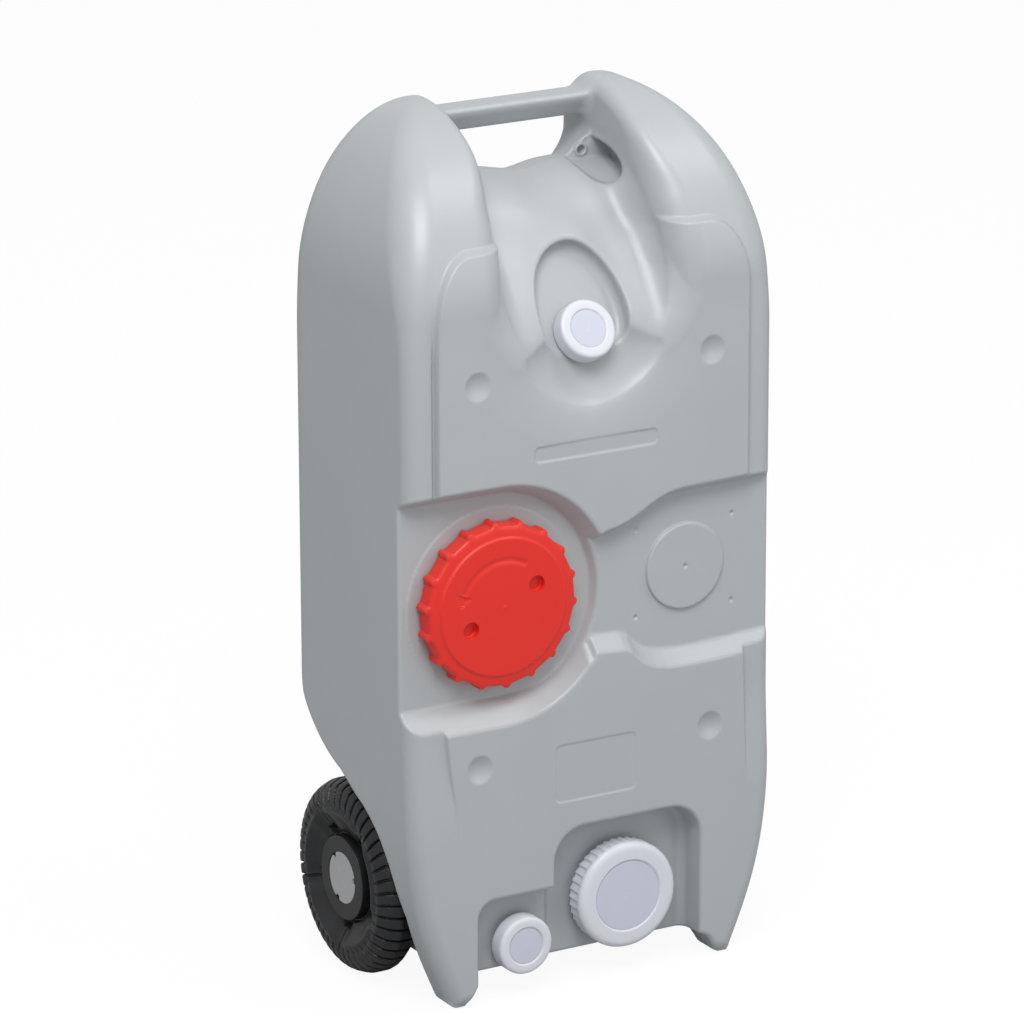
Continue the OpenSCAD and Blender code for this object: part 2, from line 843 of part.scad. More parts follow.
tyre_in_x = half_w - tyre_w;
module wheel(side) {
    ring_r = hub_ring_d / 2;
    bush_r = bush_d / 2 + 0.02;
    cap_r = hub_cap_d / 2 + 0.3;
    profile = concat(
        [[bush_r, hub_in_x], [ring_r - 4, hub_in_x], [ring_r + 2, tyre_in_x + 8]],
        [[wheel_r - tyre_r - 9, tyre_in_x + 8], [wheel_r - tyre_r - 4, tyre_in_x]],
        [for (i = [0:6]) let (t = -90 + 90 * i / 6)
            [wheel_r - tyre_r + tyre_r * cos(t), tyre_in_x + tyre_r + tyre_r * sin(t)]],
        [for (i = [0:6]) let (t = 90 * i / 6)
            [wheel_r - tyre_r + tyre_r * cos(t), half_w - tyre_r + tyre_r * sin(t)]],
        [[wheel_r - tyre_r - 6, half_w - 1], [ring_r + 6, half_w - 5], [ring_r, half_w - 5]],
        [[ring_r, half_w - 1.5], [cap_r, half_w - 1.5], [cap_r, hub_cap_x]],
        [[cap_r - 4, hub_cap_x], [cap_r - 4, hub_out_x], [bush_r, hub_out_x]]);
    color(black)
        about_axle(side)
            difference() {
                rotate_extrude($fn = 96)
                    polygon(profile);
                for (i = [0:tread_n - 1])
                    rotate([0, 0, i * 360 / tread_n])
                        translate([wheel_r - tread_t, -tread_w / 2, tyre_in_x + 3])
                            cube([tread_t + 2, tread_w, tyre_w - 6]);
            }
}

module outer_bush(side) {
    color(nylon)
        about_axle(side) {
            tube(hub_out_x - bush_l, hub_out_x, bush_d, axle_d + 2 * run_gap);
            tube(hub_out_x, hub_out_x + collar_t, collar_d, axle_d + 2 * run_gap);
        }
}

module inner_bush(side) {
    color(nylon)
        about_axle(side) {
            tube(hub_in_x, hub_in_x + bush_l, bush_d, axle_d + 2 * run_gap);
            tube(hub_in_x - collar_t, hub_in_x, collar_d, axle_d + 2 * run_gap);
        }
}

module outer_washer(side) {
    color(steel)
        about_axle(side)
            tube(outer_washer_x, outer_washer_x + washer_t, collar_d - 2, axle_d + 0.3);
}

module inner_washer(side) {
    color(steel)
        about_axle(side)
            tube(inner_washer_x, inner_washer_x + washer_t, collar_d, axle_d + 0.3);
}

module push_nut(side) {
    color(steel)
        about_axle(side)
            tube(push_nut_x, push_nut_x + push_nut_t, axle_d + 11, axle_d + 0.04);
}

module hub_cap(side) {
    color(disc_grey)
        about_axle(side)
            difference() {
                translate([0, 0, hub_cap_x])
                    cylinder(h = hub_cap_t, d = hub_cap_d);
                for (i = [0:2])
                    rotate([0, 0, 40 + i * 120])
                        translate([hub_cap_d / 2, 0, hub_cap_x - 1])
                            cylinder(h = hub_cap_t + 2, d = 7);
            }
}

shell_front();
shell_back();
cleanout_cap();
cleanout_seal();
vent_ring();
vent_disc();
vent_seal();
drain_ring();
drain_disc();
drain_seal();
spout_ring();
spout_disc();
spout_seal();
axle();
wheel(-1);  // wheel_left
outer_bush(-1);  // outer_bush_left
inner_bush(-1);  // inner_bush_left
outer_washer(-1);  // outer_washer_left
inner_washer(-1);  // inner_washer_left
push_nut(-1);  // push_nut_left
hub_cap(-1);  // hub_cap_left
wheel(1);  // wheel_right
outer_bush(1);  // outer_bush_right
inner_bush(1);  // inner_bush_right
outer_washer(1);  // outer_washer_right
inner_washer(1);  // inner_washer_right
push_nut(1);  // push_nut_right
hub_cap(1);  // hub_cap_right
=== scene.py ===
"""Looks of a roll-along water tank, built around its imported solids.

The forms are in millimetres, and Blender is in metres.
"""
import math

import bmesh
import bpy
import numpy as np
from mathutils import Matrix, Vector


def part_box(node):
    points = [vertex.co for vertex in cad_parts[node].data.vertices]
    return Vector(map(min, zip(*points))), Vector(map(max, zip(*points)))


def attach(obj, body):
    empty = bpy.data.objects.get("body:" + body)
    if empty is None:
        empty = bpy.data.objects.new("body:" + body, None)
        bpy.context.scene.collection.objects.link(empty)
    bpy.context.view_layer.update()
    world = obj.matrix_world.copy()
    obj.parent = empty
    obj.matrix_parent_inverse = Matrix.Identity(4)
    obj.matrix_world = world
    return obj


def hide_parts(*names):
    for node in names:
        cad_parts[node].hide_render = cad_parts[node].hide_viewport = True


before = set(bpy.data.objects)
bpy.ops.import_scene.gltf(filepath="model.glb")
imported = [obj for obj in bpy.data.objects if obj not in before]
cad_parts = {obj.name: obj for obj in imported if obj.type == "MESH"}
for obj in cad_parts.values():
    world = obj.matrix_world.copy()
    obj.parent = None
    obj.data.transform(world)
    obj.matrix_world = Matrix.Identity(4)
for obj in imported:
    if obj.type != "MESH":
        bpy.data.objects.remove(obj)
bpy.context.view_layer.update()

MM = 0.001


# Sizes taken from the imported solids

def node_box(node):
    """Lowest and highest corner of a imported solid, in millimetres."""
    lo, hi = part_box(node)
    return np.array(lo) / MM, np.array(hi) / MM


def node_middle(node):
    """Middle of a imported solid's box, in millimetres."""
    lo, hi = node_box(node)
    return (lo + hi) / 2


TANK_HALVES = ("shell_front", "shell_back")
TANK_LO = np.minimum(*[node_box(half)[0] for half in TANK_HALVES])
TANK_HI = np.maximum(*[node_box(half)[1] for half in TANK_HALVES])
WHEEL_LO, WHEEL_HI = node_box("wheel_right")
HALF_W = TANK_HI[0]
FRONT_Y = TANK_LO[1]
BACK_Y = TANK_HI[1]
TOP_Z = TANK_HI[2]
WHEEL_R = (WHEEL_HI[2] - WHEEL_LO[2]) / 2
WHEEL_Y = (WHEEL_HI[1] + WHEEL_LO[1]) / 2
WHEEL_Z = (WHEEL_HI[2] + WHEEL_LO[2]) / 2

CLEAN = node_middle("cleanout_seal")
DRAIN = node_middle("drain_seal")
SPOUT = node_middle("spout_seal")
SMALL_CAP_R = 27
VENT_TILT = math.radians(30)
VENT_FACE = np.array([0.0, FRONT_Y + SMALL_CAP_R * math.sin(VENT_TILT) + 0.2, 610.0])


# Curves and distances

def quarter(cx, cz, a, b, power, start, end, steps):
    """Points of a quarter of a superellipse, from its side to its top."""
    points = []
    for i in range(steps + 1):
        t = math.radians(start + (end - start) * i / steps)
        c, s = math.cos(t), math.sin(t)
        points.append((cx + a * math.copysign(abs(c) ** (2 / power), c),
                       cz + b * math.copysign(abs(s) ** (2 / power), s)))
    return points


def bezier(a, b, c, d, steps):
    """Points of a smooth curve from a to d that leaves towards b and arrives from c."""
    points = []
    for i in range(steps + 1):
        t = i / steps
        w = ((1 - t) ** 3, 3 * t * (1 - t) ** 2, 3 * t * t * (1 - t), t ** 3)
        points.append(tuple(sum(k * p[axis] for k, p in zip(w, (a, b, c, d))) for axis in (0, 1)))
    return points


def mirrored(points):
    """A closed outline from its right half, listed from the middle of its foot upwards."""
    return points + [(-x, z) for x, z in reversed(points)]


def outline_distance(points, u, v):
    """Distance of each (u, v) from a closed outline, negative inside it."""
    u, v = np.broadcast_arrays(u, v)
    nearest = np.full(u.shape, 1e12, np.float32)
    inside = np.zeros(u.shape, bool)
    for (u0, v0), (u1, v1) in zip(points, points[1:] + points[:1]):
        du, dv = u1 - u0, v1 - v0
        length = du * du + dv * dv
        if length < 1e-9:
            continue
        wu, wv = u - u0, v - v0
        t = np.clip((wu * du + wv * dv) / length, 0, 1)
        nearest = np.minimum(nearest, (wu - du * t) ** 2 + (wv - dv * t) ** 2)
        if dv:
            crosses = (v0 <= v) != (v1 <= v)
            inside ^= crosses & (u < u0 + wv * du / dv)
    distance = np.sqrt(nearest)
    return np.where(inside, -distance, distance).astype(np.float32)


def smooth(t):
    """Rises softly from 0 to 1 while t does."""
    t = np.clip(t, 0, 1)
    return t * t * (3 - 2 * t)


def rounded_box(u, v, half_u, half_v, radius):
    """Distance of each (u, v) from a rectangle round the middle, with rounded corners."""
    qu = np.abs(u) - half_u + radius
    qv = np.abs(v) - half_v + radius
    return np.hypot(np.maximum(qu, 0), np.maximum(qv, 0)) + np.minimum(np.maximum(qu, qv), 0) - radius


def both(a, b, radius=0.0):
    """Where two forms meet, with their common edge rounded to the radius."""
    if np.isscalar(radius) and radius == 0:
        return np.maximum(a, b)
    corner = np.hypot(np.maximum(radius + a, 0), np.maximum(radius + b, 0))
    return np.minimum(-radius, np.maximum(a, b)) + corner


def either(a, b, radius=0.0):
    """Two forms joined, with the inner corner between them filled to the radius."""
    return -both(-a, -b, radius)


class Grid:
    """Grid lines along X, Y and Z, closer together where the moulding has fine marks."""

    def __init__(self, x_lines, y_lines, z_lines):
        self.lines = [x_lines, y_lines, z_lines]
        self.x = x_lines[:, None, None]
        self.y = y_lines[None, :, None]
        self.z = z_lines[None, None, :]
        self.shape = tuple(len(a) for a in self.lines)

    def turn(self, a, b):
        """How far two surfaces face apart: 0 where they are parallel, 1 at a right angle."""
        a, b = np.broadcast_to(a, self.shape), np.broadcast_to(b, self.shape)
        dot, aa, bb = 0, 1e-6, 1e-6
        for axis in range(3):
            ga = np.gradient(a, self.lines[axis], axis=axis)
            gb = np.gradient(b, self.lines[axis], axis=axis)
            dot = dot + ga * gb
            aa = aa + ga * ga
            bb = bb + gb * gb
        return 1 - np.clip(dot / np.sqrt(aa * bb), 0, 1)

    def meet(self, a, b, radius):
        """both(), with no rounding where the two surfaces run into each other."""
        return both(a, b, radius * self.turn(a, b))


def grid_lines(start, stop, step, fine=()):
    """Lines from start to stop, with a smaller step inside each stretch (low, high, step)."""
    lines = [start]
    while lines[-1] < stop:
        here = lines[-1]
        ahead = here + min([step] + [f[2] for f in fine if f[0] <= here < f[1]])
        ahead = min([ahead] + [f[0] for f in fine if here < f[0] < ahead])
        lines.append(ahead)
    return np.array(lines, np.float32)


# Skin of a field

def field_at(field, lines, points):
    """The field at any points, between its grid lines."""
    corner, part = [], []
    for axis in range(3):
        i = np.clip(np.searchsorted(lines[axis], points[:, axis]) - 1, 0, len(lines[axis]) - 2)
        corner.append(i)
        part.append((points[:, axis] - lines[axis][i]) / (lines[axis][i + 1] - lines[axis][i]))
    total = 0
    for dx in (0, 1):
        for dy in (0, 1):
            for dz in (0, 1):
                weight = 1
                for d, p in zip((dx, dy, dz), part):
                    weight = weight * (p if d else 1 - p)
                total = total + weight * field[corner[0] + dx, corner[1] + dy, corner[2] + dz]
    return total


def slope_at(field, lines, points, reach=0.8):
    """Direction in which the field grows fastest, of length 1."""
    slope = np.zeros(points.shape)
    for axis in range(3):
        step = np.zeros(3)
        step[axis] = reach
        slope[:, axis] = field_at(field, lines, points + step) - field_at(field, lines, points - step)
    size = np.linalg.norm(slope, axis=1, keepdims=True)
    return slope / np.maximum(size, 1e-6), size[:, 0] / (2 * reach)


def skin(field, lines):
    """Vertices and four-cornered faces of the surface where the field is zero."""
    solid = field < 0
    counts = [n - 1 for n in field.shape]
    corners = [solid[dx:counts[0] + dx, dy:counts[1] + dy, dz:counts[2] + dz]
               for dx in (0, 1) for dy in (0, 1) for dz in (0, 1)]
    some = np.logical_or.reduce(corners)
    every = np.logical_and.reduce(corners)
    cells = np.argwhere(some & ~every)
    index = np.full(counts, -1, np.int32)
    index[tuple(cells.T)] = np.arange(len(cells))
    total = np.zeros((len(cells), 3))
    crossings = np.zeros(len(cells))
    for axis in range(3):
        others = [a for a in range(3) if a != axis]
        for d0 in (0, 1):
            for d1 in (0, 1):
                low = cells.copy()
                low[:, others[0]] += d0
                low[:, others[1]] += d1
                high = low.copy()
                high[:, axis] += 1
                a = field[tuple(low.T)]
                b = field[tuple(high.T)]
                hit = (a < 0) != (b < 0)
                t = np.where(hit, a / np.where(hit, a - b, 1), 0)
                place = np.stack([lines[k][low[:, k]] for k in range(3)], axis=1).astype(float)
                place[:, axis] += t * (lines[axis][high[:, axis]] - lines[axis][low[:, axis]])
                total += place * hit[:, None]
                crossings += hit
    points = total / crossings[:, None]
    faces = []
    for axis in range(3):
        u, v = (axis + 1) % 3, (axis + 2) % 3
        first = [slice(None)] * 3
        second = [slice(None)] * 3
        first[axis] = slice(0, field.shape[axis] - 1)
        second[axis] = slice(1, field.shape[axis])
        for out in (False, True):
            a, b = solid[tuple(first)], solid[tuple(second)]
            edge = np.argwhere(b & ~a if out else a & ~b)
            inner = (edge[:, u] > 0) & (edge[:, v] > 0)
            inner &= (edge[:, u] < field.shape[u] - 1) & (edge[:, v] < field.shape[v] - 1)
            edge = edge[inner]
            ring = []
            for du, dv in ((-1, -1), (0, -1), (0, 0), (-1, 0)):
                cell = edge.copy()
                cell[:, u] += du
                cell[:, v] += dv
                ring.append(index[tuple(cell.T)])
            ring = np.stack(ring if not out else ring[::-1], axis=1)
            faces.append(ring)
    return points, np.concatenate(faces)


def mesh_from_arrays(name, points, faces, normals=None):
    """A mesh of four-cornered faces. Points are in millimetres."""
    mesh = bpy.data.meshes.new(name)
    mesh.vertices.add(len(points))
    mesh.vertices.foreach_set("co", (points * MM).astype(np.float32).ravel())
    mesh.loops.add(faces.size)
    mesh.loops.foreach_set("vertex_index", faces.astype(np.int32).ravel())
    mesh.polygons.add(len(faces))
    mesh.polygons.foreach_set("loop_start", np.arange(0, faces.size, 4, dtype=np.int32))
    mesh.update(calc_edges=True)
    mesh.validate()
    mesh.shade_smooth()
    if normals is not None:
        mesh.normals_split_custom_set_from_vertices(normals.tolist())
    return mesh


# The moulded tank

FOOT_OUT_X = 143
SHOULDER_Z = 645
SHOULDER_X = 90
PANEL_T = 4.5
UNDER_Z = 24
FRONT_EDGE_R = 15
BACK_EDGE_R = 24
SHOULDER_EDGE_R = 36
FOOT_IN_X = 130
FOOT_BACK_Y = -79
CHAMFER_D, CHAMFER_H = 34, 46
BASIN_X, BASIN_Z = 1, 590
BASIN_HALF_SIZE = (73, 23, 51)
SCOOP_R = 110.5
SCOOP_T = 23
BAND_T = 14
CREST_Y, CREST_Z = 30, 724
BAR_Y, BAR_Z = 42, 775.5
BAR_D, BAR_H = 31, 23
BAR_END_X = 84
VENT_FLAT_T = 17.6
VENT_FLAT_HALF_W = 44
VENT_FLAT_MIDDLE = 12
VENT_FLAT_RISE, VENT_FLAT_DROP = 70, 46
EYE_X, EYE_Z = 67, 735
EYE_R = 3.8
EYE_RIM_R = 5.2

BODY_OUTLINE = mirrored(
    [(0, 0), (FOOT_OUT_X, 0)]
    + bezier((147, 5), (169, 56), (186, 94), (HALF_W, 185), 50)
    + quarter(SHOULDER_X, SHOULDER_Z, HALF_W - SHOULDER_X, TOP_Z - SHOULDER_Z, 2, 0, 90, 90)
    + [(0, TOP_Z)])

SIDE_OUTLINE = (
    [(FRONT_Y + PANEL_T, 0), (BACK_Y, 0)]
    + quarter(44, 640, BACK_Y - 44, TOP_Z - 640, 2, 0, 90, 90)
    + [(-y, z) for y, z in quarter(-44, 640, 44 - FRONT_Y - PANEL_T, TOP_Z - 640, 1.9, 86, 0, 90)])

UPPER_PANEL = mirrored(
    [(0, 400), (157, 400), (157, 620)] + quarter(119, 630, 38, 62, 2, 0, 90, 40) + [(0, 692)])

LOWER_PANEL = [(-143, -40), (157, -40), (157, 190), (155, 240), (152, 340),
               (-152, 340), (-151, 262), (-148, 232), (-143, 196)]

VALLEY_R = 84
VALLEY_Z = 625
VALLEY_OUTLINE = mirrored(
    [(0, VALLEY_Z - VALLEY_R)]
    + [(VALLEY_R * math.sin(math.radians(a)), VALLEY_Z - VALLEY_R * math.cos(math.radians(a)))
       for a in range(2, 91, 2)]
    + [(85, 655), (84, 686), (81, 712), (79, 735), (78, 760), (78, 840), (0, 840)])

DOME_AIR = (
    [(FRONT_Y - 60, 500), (FRONT_Y - 1.2, 500)]
    + [(-y, z) for y, z in quarter(-CREST_Y, 553, CREST_Y - FRONT_Y + 1, CREST_Z - 553, 1.65, 0, 88, 80)]
    + [(CREST_Y + 14, CREST_Z - 1.5), (CREST_Y + 32, CREST_Z - 7), (CREST_Y + 55, CREST_Z - 20)]
    + [(BACK_Y + 40, 640), (BACK_Y + 40, 860), (FRONT_Y - 60, 860)])

NICHE_X = 135
NICHE_R = WHEEL_R + 5
NICHE_OUTLINE = (
    [(WHEEL_Y - NICHE_R - 8, -40), (WHEEL_Y - NICHE_R - 8, WHEEL_Z - 8)]
    + [(WHEEL_Y + NICHE_R * math.cos(math.radians(a)), WHEEL_Z + NICHE_R * math.sin(math.radians(a)))
       for a in np.linspace(166, 110, 8)]
    + bezier((WHEEL_Y - 4, WHEEL_Z + NICHE_R + 10), (WHEEL_Y + 24, WHEEL_Z + NICHE_R + 18),
             (WHEEL_Y + 62, WHEEL_Z + NICHE_R + 42), (BACK_Y - 6, WHEEL_Z + NICHE_R + 84), 12)
    + [(BACK_Y + 40, WHEEL_Z + NICHE_R + 170), (BACK_Y + 40, -40)])

WEB_T = 6
WEB_OUTLINE = [
    (40, CREST_Z - 6), (84, CREST_Z - 6), (84, EYE_Z + 18), (78, EYE_Z + 15), (72, EYE_Z + 11.5),
    (66, EYE_Z + 7.5), (60, EYE_Z + 2.5), (54, EYE_Z - 3), (47, EYE_Z - 9)]

# Edges of the shallow band of the middle recess, as (x, z) points from left to right
BAND_TOP = [
    (-30, 438), (7, 423), (11, 425.5), (25, 428), (38, 433), (50, 439.5), (60, 445), (70, 449.3),
    (80, 452), (92, 453.5), (115, 454), (200, 456)]
BAND_FOOT = [
    (-30, 300), (-2, 306), (1.5, 313), (31, 311), (38, 308), (43, 302), (48, 297.5), (55, 293),
    (63, 290), (75, 287.5), (90, 286.3), (110, 286.2), (140, 287.5), (200, 291)]

# Marks moulded into the front, with their places on it
DIMPLES = [(x, z) for x in (-119, 119) for z in (225, 577)]
DIMPLE_R = 23.1
DIMPLE_T = 4
PAD_R = 86
BOSS_R = 40
BOSS_X, BOSS_Z = 99, 376
PIPS = [(x, z, 0) for z in (335, 417) for x in (49, 149)] + [(BOSS_X, BOSS_Z, 3)]
PIP_R = 2.3

# The bare slot and plate: middle height, half width, half height, corner radius and depth
PRESSED_MARKS = ((506, 62.5, 7, 4.5, 1.1), (206, 41.5, 27, 5, 0.8))

# Necks under the caps
CLEAN_NECK_R, CLEAN_BORE_R = 60, 52
DRAIN_NECK_R, DRAIN_BORE_R = 40, 34
SMALL_NECK_R, SMALL_BORE_R = 20, 15.5
CLEAN_STACK = 7
RING_STACK = 7.65
WALL_Y = -80

# The front necks: middle, outer and bore radius, depth of the top, Y of the foot and of the bore's floor
FRONT_NECKS = (
    (CLEAN, CLEAN_NECK_R, CLEAN_BORE_R, CLEAN_STACK, WALL_Y, -70),
    (DRAIN, DRAIN_NECK_R, DRAIN_BORE_R, RING_STACK, WALL_Y - 4, -66),
    (SPOUT, SMALL_NECK_R, SMALL_BORE_R, RING_STACK, WALL_Y - 4, -75))


def panel_relief(x, z):
    """Height of the two front panels above the strips beside them. The steps run out below."""
    upper = outline_distance(UPPER_PANEL, x, z)
    lean = 3 * smooth((z - 610) / 95)
    groove = smooth(1 - np.abs(upper - 3.6) / 2.6) * smooth((640 - z) / 50) * smooth((z - 380) / 20)
    groove = groove * (0.8 + 2.4 * smooth(0.5 - x / 80))
    upper = (PANEL_T + lean) * smooth(1 - upper / (2.8 + 0.6 * lean))
    lower = PANEL_T * smooth(1 - outline_distance(LOWER_PANEL, x, z) / 3.2)
    return np.maximum(np.maximum(upper, lower), PANEL_T * smooth((262 - z) / 110)) - groove


def recess_depth(x, z):
    """Depth of the middle recess behind the front plane: a round scoop on the left and a shallow band."""
    across = np.maximum(x - CLEAN[0], 0)
    up = z - CLEAN[2]
    reach = np.hypot(across, up)
    below = smooth(0.5 - up / np.maximum(reach, 1) * 0.9) * smooth(1.1 - across / 70)
    steep = 1.08 * below + 2.0 * (1 - below)
    scoop = np.minimum((SCOOP_R - reach) * steep, SCOOP_T)
    rim_up = np.interp(x, *zip(*BAND_TOP))
    rim_low = np.interp(x, *zip(*BAND_FOOT))
    band = np.minimum(np.minimum((rim_up - z) * 1.7, (z - rim_low) * 1.0), BAND_T)
    band = np.where(x < -40, -30, band)
    return np.maximum(np.maximum(scoop, band), -25).astype(np.float32)


def blur(values, lines_x, lines_z, reach):
    """Softens a height map on the XZ grid by about reach millimetres."""
    out = values[:, 0, :]
    for axis, lines in ((0, lines_x), (1, lines_z)):
        even = np.arange(lines[0], lines[-1], 1.0)
        moved = np.moveaxis(out, axis, -1)
        flat = np.stack([np.interp(even, lines, row) for row in moved])
        size = int(2 * reach) * 2 + 1
        weights = np.hanning(size + 2)[1:-1]
        weights /= weights.sum()
        padded = np.pad(flat, ((0, 0), (size // 2, size // 2)), mode="edge")
        soft = np.stack([np.convolve(row, weights, mode="valid") for row in padded])
        back = np.stack([np.interp(lines, even, row) for row in soft])
        out = np.moveaxis(back, -1, axis)
    return out[:, None, :].astype(np.float32)


def vent_axes(y, z):
    """Place along the vent's axis, outwards from its face, and up its flat."""
    out = -(y - VENT_FACE[1]) * math.cos(VENT_TILT) + (z - VENT_FACE[2]) * math.sin(VENT_TILT)
    up = (y - VENT_FACE[1]) * math.sin(VENT_TILT) + (z - VENT_FACE[2]) * math.cos(VENT_TILT)
    return out, up


def tank_body(g):
    """The tall body with its rounded edges and the two panels on its front."""
    relief = panel_relief(g.x, g.z) * smooth((20 - g.y) / 60)
    side = outline_distance(SIDE_OUTLINE, g.y, g.z) - relief
    front = np.broadcast_to(outline_distance(BODY_OUTLINE, g.x, g.z), g.shape)
    edge = FRONT_EDGE_R + (BACK_EDGE_R - FRONT_EDGE_R) * smooth((g.y + 20) / 60)
    edge = edge + (SHOULDER_EDGE_R - edge) * smooth((g.z - 590) / 130)
    return g.meet(front, side, edge)


def cut_underside(g, solid):
    """Leaves two feet in front, a hollow between them, a chamfer behind and a niche for each wheel."""
    ax = np.abs(g.x)
    foot = both(-g.z, (FOOT_IN_X - ax - g.z * 0.5) * 0.894, 5)
    foot = both(foot, (g.y - FOOT_BACK_Y - g.z * 0.417) * 0.923, 5)
    solid = both(solid, either(UNDER_Z - g.z, foot, 8), 5)
    chamfer = (g.y - BACK_Y + CHAMFER_D) * CHAMFER_H - (g.z - UNDER_Z) * CHAMFER_D
    solid = both(solid, chamfer / math.hypot(CHAMFER_D, CHAMFER_H), 14)
    niche = both(NICHE_X - ax, outline_distance(NICHE_OUTLINE, g.y, g.z), 9)
    return both(solid, -niche, 4)


def dome_air(g):
    """The air over the dome, which has a soft ridge in front and a shallow saddle behind."""
    x, z = g.x, g.z
    ridge = -4 + 10 * np.exp(-((x - 5) / 30) ** 2)
    saddle = 7.1 - 6.5 * np.exp(-((x - 3) / 26) ** 2)
    rise = 2 - x * x / 1800
    rise = rise + (ridge - rise) * smooth((z - 594) / 66)
    rise = rise + (saddle - rise) * smooth((z - 676) / 48)
    return outline_distance(DOME_AIR, g.y, z) + rise


def cut_valley(g, solid, dome):
    """Cuts the valley between the shoulders and the soft basin at its foot."""
    wall = np.broadcast_to(outline_distance(VALLEY_OUTLINE, g.x, g.z), g.shape)
    lip = 13 + 15 * smooth((775 - g.z) / 60)
    solid = g.meet(solid, -g.meet(wall, dome, 25), lip)
    reach = (np.abs(g.x - BASIN_X), np.maximum(g.y - FRONT_Y, 0), np.abs(g.z - BASIN_Z))
    basin = sum((part / size) ** 1.7 for part, size in zip(reach, BASIN_HALF_SIZE))
    return g.meet(solid, -(basin ** 0.588 - 1) * 20, 16)


def cut_vent_pocket(g, solid):
    """Cuts the tear-shaped flat that carries the vent's cap."""
    out, up = vent_axes(g.y, g.z)
    from_middle = up - VENT_FLAT_MIDDLE
    stretch = np.where(from_middle > 0, from_middle / VENT_FLAT_RISE, from_middle / VENT_FLAT_DROP)
    tear = (np.sqrt((g.x / VENT_FLAT_HALF_W) ** 2 + stretch ** 2) - 1) * 42
    return g.meet(solid, -both(tear, -(out + VENT_FLAT_T), 8), 3.6)


def cut_recess(g, solid):
    """Cuts the middle recess, from its depth over the front."""
    depth = blur(recess_depth(g.x, g.z), g.lines[0], g.lines[2], 0.8)
    slope_x = np.gradient(depth, g.lines[0], axis=0)
    slope_z = np.gradient(depth, g.lines[2], axis=2)
    recess = (g.y - FRONT_Y - depth) / np.sqrt(1 + slope_x * slope_x + slope_z * slope_z)
    return g.meet(solid, -recess, 3)


def cut_cap_pockets(g, solid):
    """Cuts the two pockets low on the front, each (middle x, middle z, half width, radius, floor)."""
    drain_pocket = (DRAIN[0], DRAIN[2] - 24, 76.5, 32, FRONT_Y + 28)
    spout_pocket = (SPOUT[0] - 4, SPOUT[2] - 50, 45, 18, FRONT_Y + 22)
    for middle_x, middle_z, half_w, radius, floor_y in (drain_pocket, spout_pocket):
        mouth = rounded_box(g.x - middle_x, g.z - middle_z, half_w, 100, radius)
        pocket = both(mouth + 0.1 * (g.y - FRONT_Y), g.y - floor_y, 7)
        solid = g.meet(solid, -pocket, 3.5)
    return solid


def ball(g, x, y, z, radius):
    """Distance from a ball."""
    return np.sqrt((g.x - x) ** 2 + (g.y - y) ** 2 + (g.z - z) ** 2) - radius


def mark_front(g, solid):
    """Presses the dimples, the bare slot and the bare plate into the panels."""
    for x, z in DIMPLES:
        solid = both(solid, -ball(g, x, FRONT_Y + DIMPLE_T - DIMPLE_R, z, DIMPLE_R), 0.5)
    for middle_z, half_w, half_h, radius, depth in PRESSED_MARKS:
        mark = both(rounded_box(g.x, g.z - middle_z, half_w, half_h, radius), g.y - FRONT_Y - depth)
        solid = both(solid, -mark, 0.4)
    return solid


def mark_recess(g, solid):
    """Adds the pad under the cleanout cap and the round boss, with the pips on it and round it."""
    from_clean = np.hypot(g.x - CLEAN[0], g.z - CLEAN[2])
    from_boss = np.hypot(g.x - BOSS_X, g.z - BOSS_Z)
    wall = g.y - WALL_Y
    pad = both(both(from_clean - PAD_R, -(g.y - FRONT_Y - SCOOP_T + 0.7), 0.3), wall)
    boss = both(both(from_boss - BOSS_R, -(g.y - FRONT_Y - BAND_T + 3), 1), wall)
    solid = np.minimum(np.minimum(solid, pad), boss)
    for x, z, raised in PIPS:
        solid = np.maximum(solid, -ball(g, x, FRONT_Y + BAND_T - raised - 0.5, z, PIP_R))
    return solid


def add_bar(g, solid):
    """Adds the grip bar between the shoulders. Its front face leans back to the top."""
    bar = rounded_box(g.y - BAR_Y, g.z - BAR_Z, BAR_D / 2, BAR_H / 2, 5)
    lean = (BAR_Y - BAR_D / 2 - g.y) * 0.82 + (BAR_Z + 6.5 - g.z) * 0.57
    return either(solid, both(both(bar, lean, 3), np.abs(g.x) - BAR_END_X), 11)


def add_webs(g, solid, dome):
    """Adds the two webs under the bar, the pocket before each, and the eye with its raised rim."""
    ax = np.abs(g.x)
    off = np.abs(g.y - CREST_Y)
    web = both(outline_distance(WEB_OUTLINE, ax, g.z), off - WEB_T / 2, 1)
    solid = either(solid, web, 2)
    dip = np.sqrt(((ax - 75) / 24) ** 2 + ((g.y - 25) / 50) ** 2 + ((g.z - 723) / 22) ** 2)
    dip = both(both((dip - 1) * 20, dome - 3.5, 3), g.y - CREST_Y + WEB_T / 2, 1)
    solid = both(solid, -dip, 3.5)
    from_eye = np.hypot(ax - EYE_X, g.z - EYE_Z)
    rim = both(np.abs(from_eye - EYE_RIM_R) - 1.2, off - 4.2, 0.5)
    return both(np.minimum(solid, rim), -both(from_eye - EYE_R, off - 9))


def add_necks(g, solid):
    """Adds the four necks with their bores, from their tops into the tank."""
    for middle, outer_r, bore_r, stack, foot_y, floor_y in FRONT_NECKS:
        radius = np.hypot(g.x - middle[0], g.z - middle[2])
        neck = both(both(radius - outer_r, FRONT_Y + stack - g.y), g.y - foot_y)
        solid = np.maximum(np.minimum(solid, neck), -both(radius - bore_r, g.y - floor_y))
    out, up = vent_axes(g.y, g.z)
    radius = np.hypot(g.x, up)
    solid = np.minimum(solid, both(both(radius - SMALL_NECK_R, out + RING_STACK), -out - 26))
    return np.maximum(solid, -both(radius - SMALL_BORE_R, -(out + 32)))


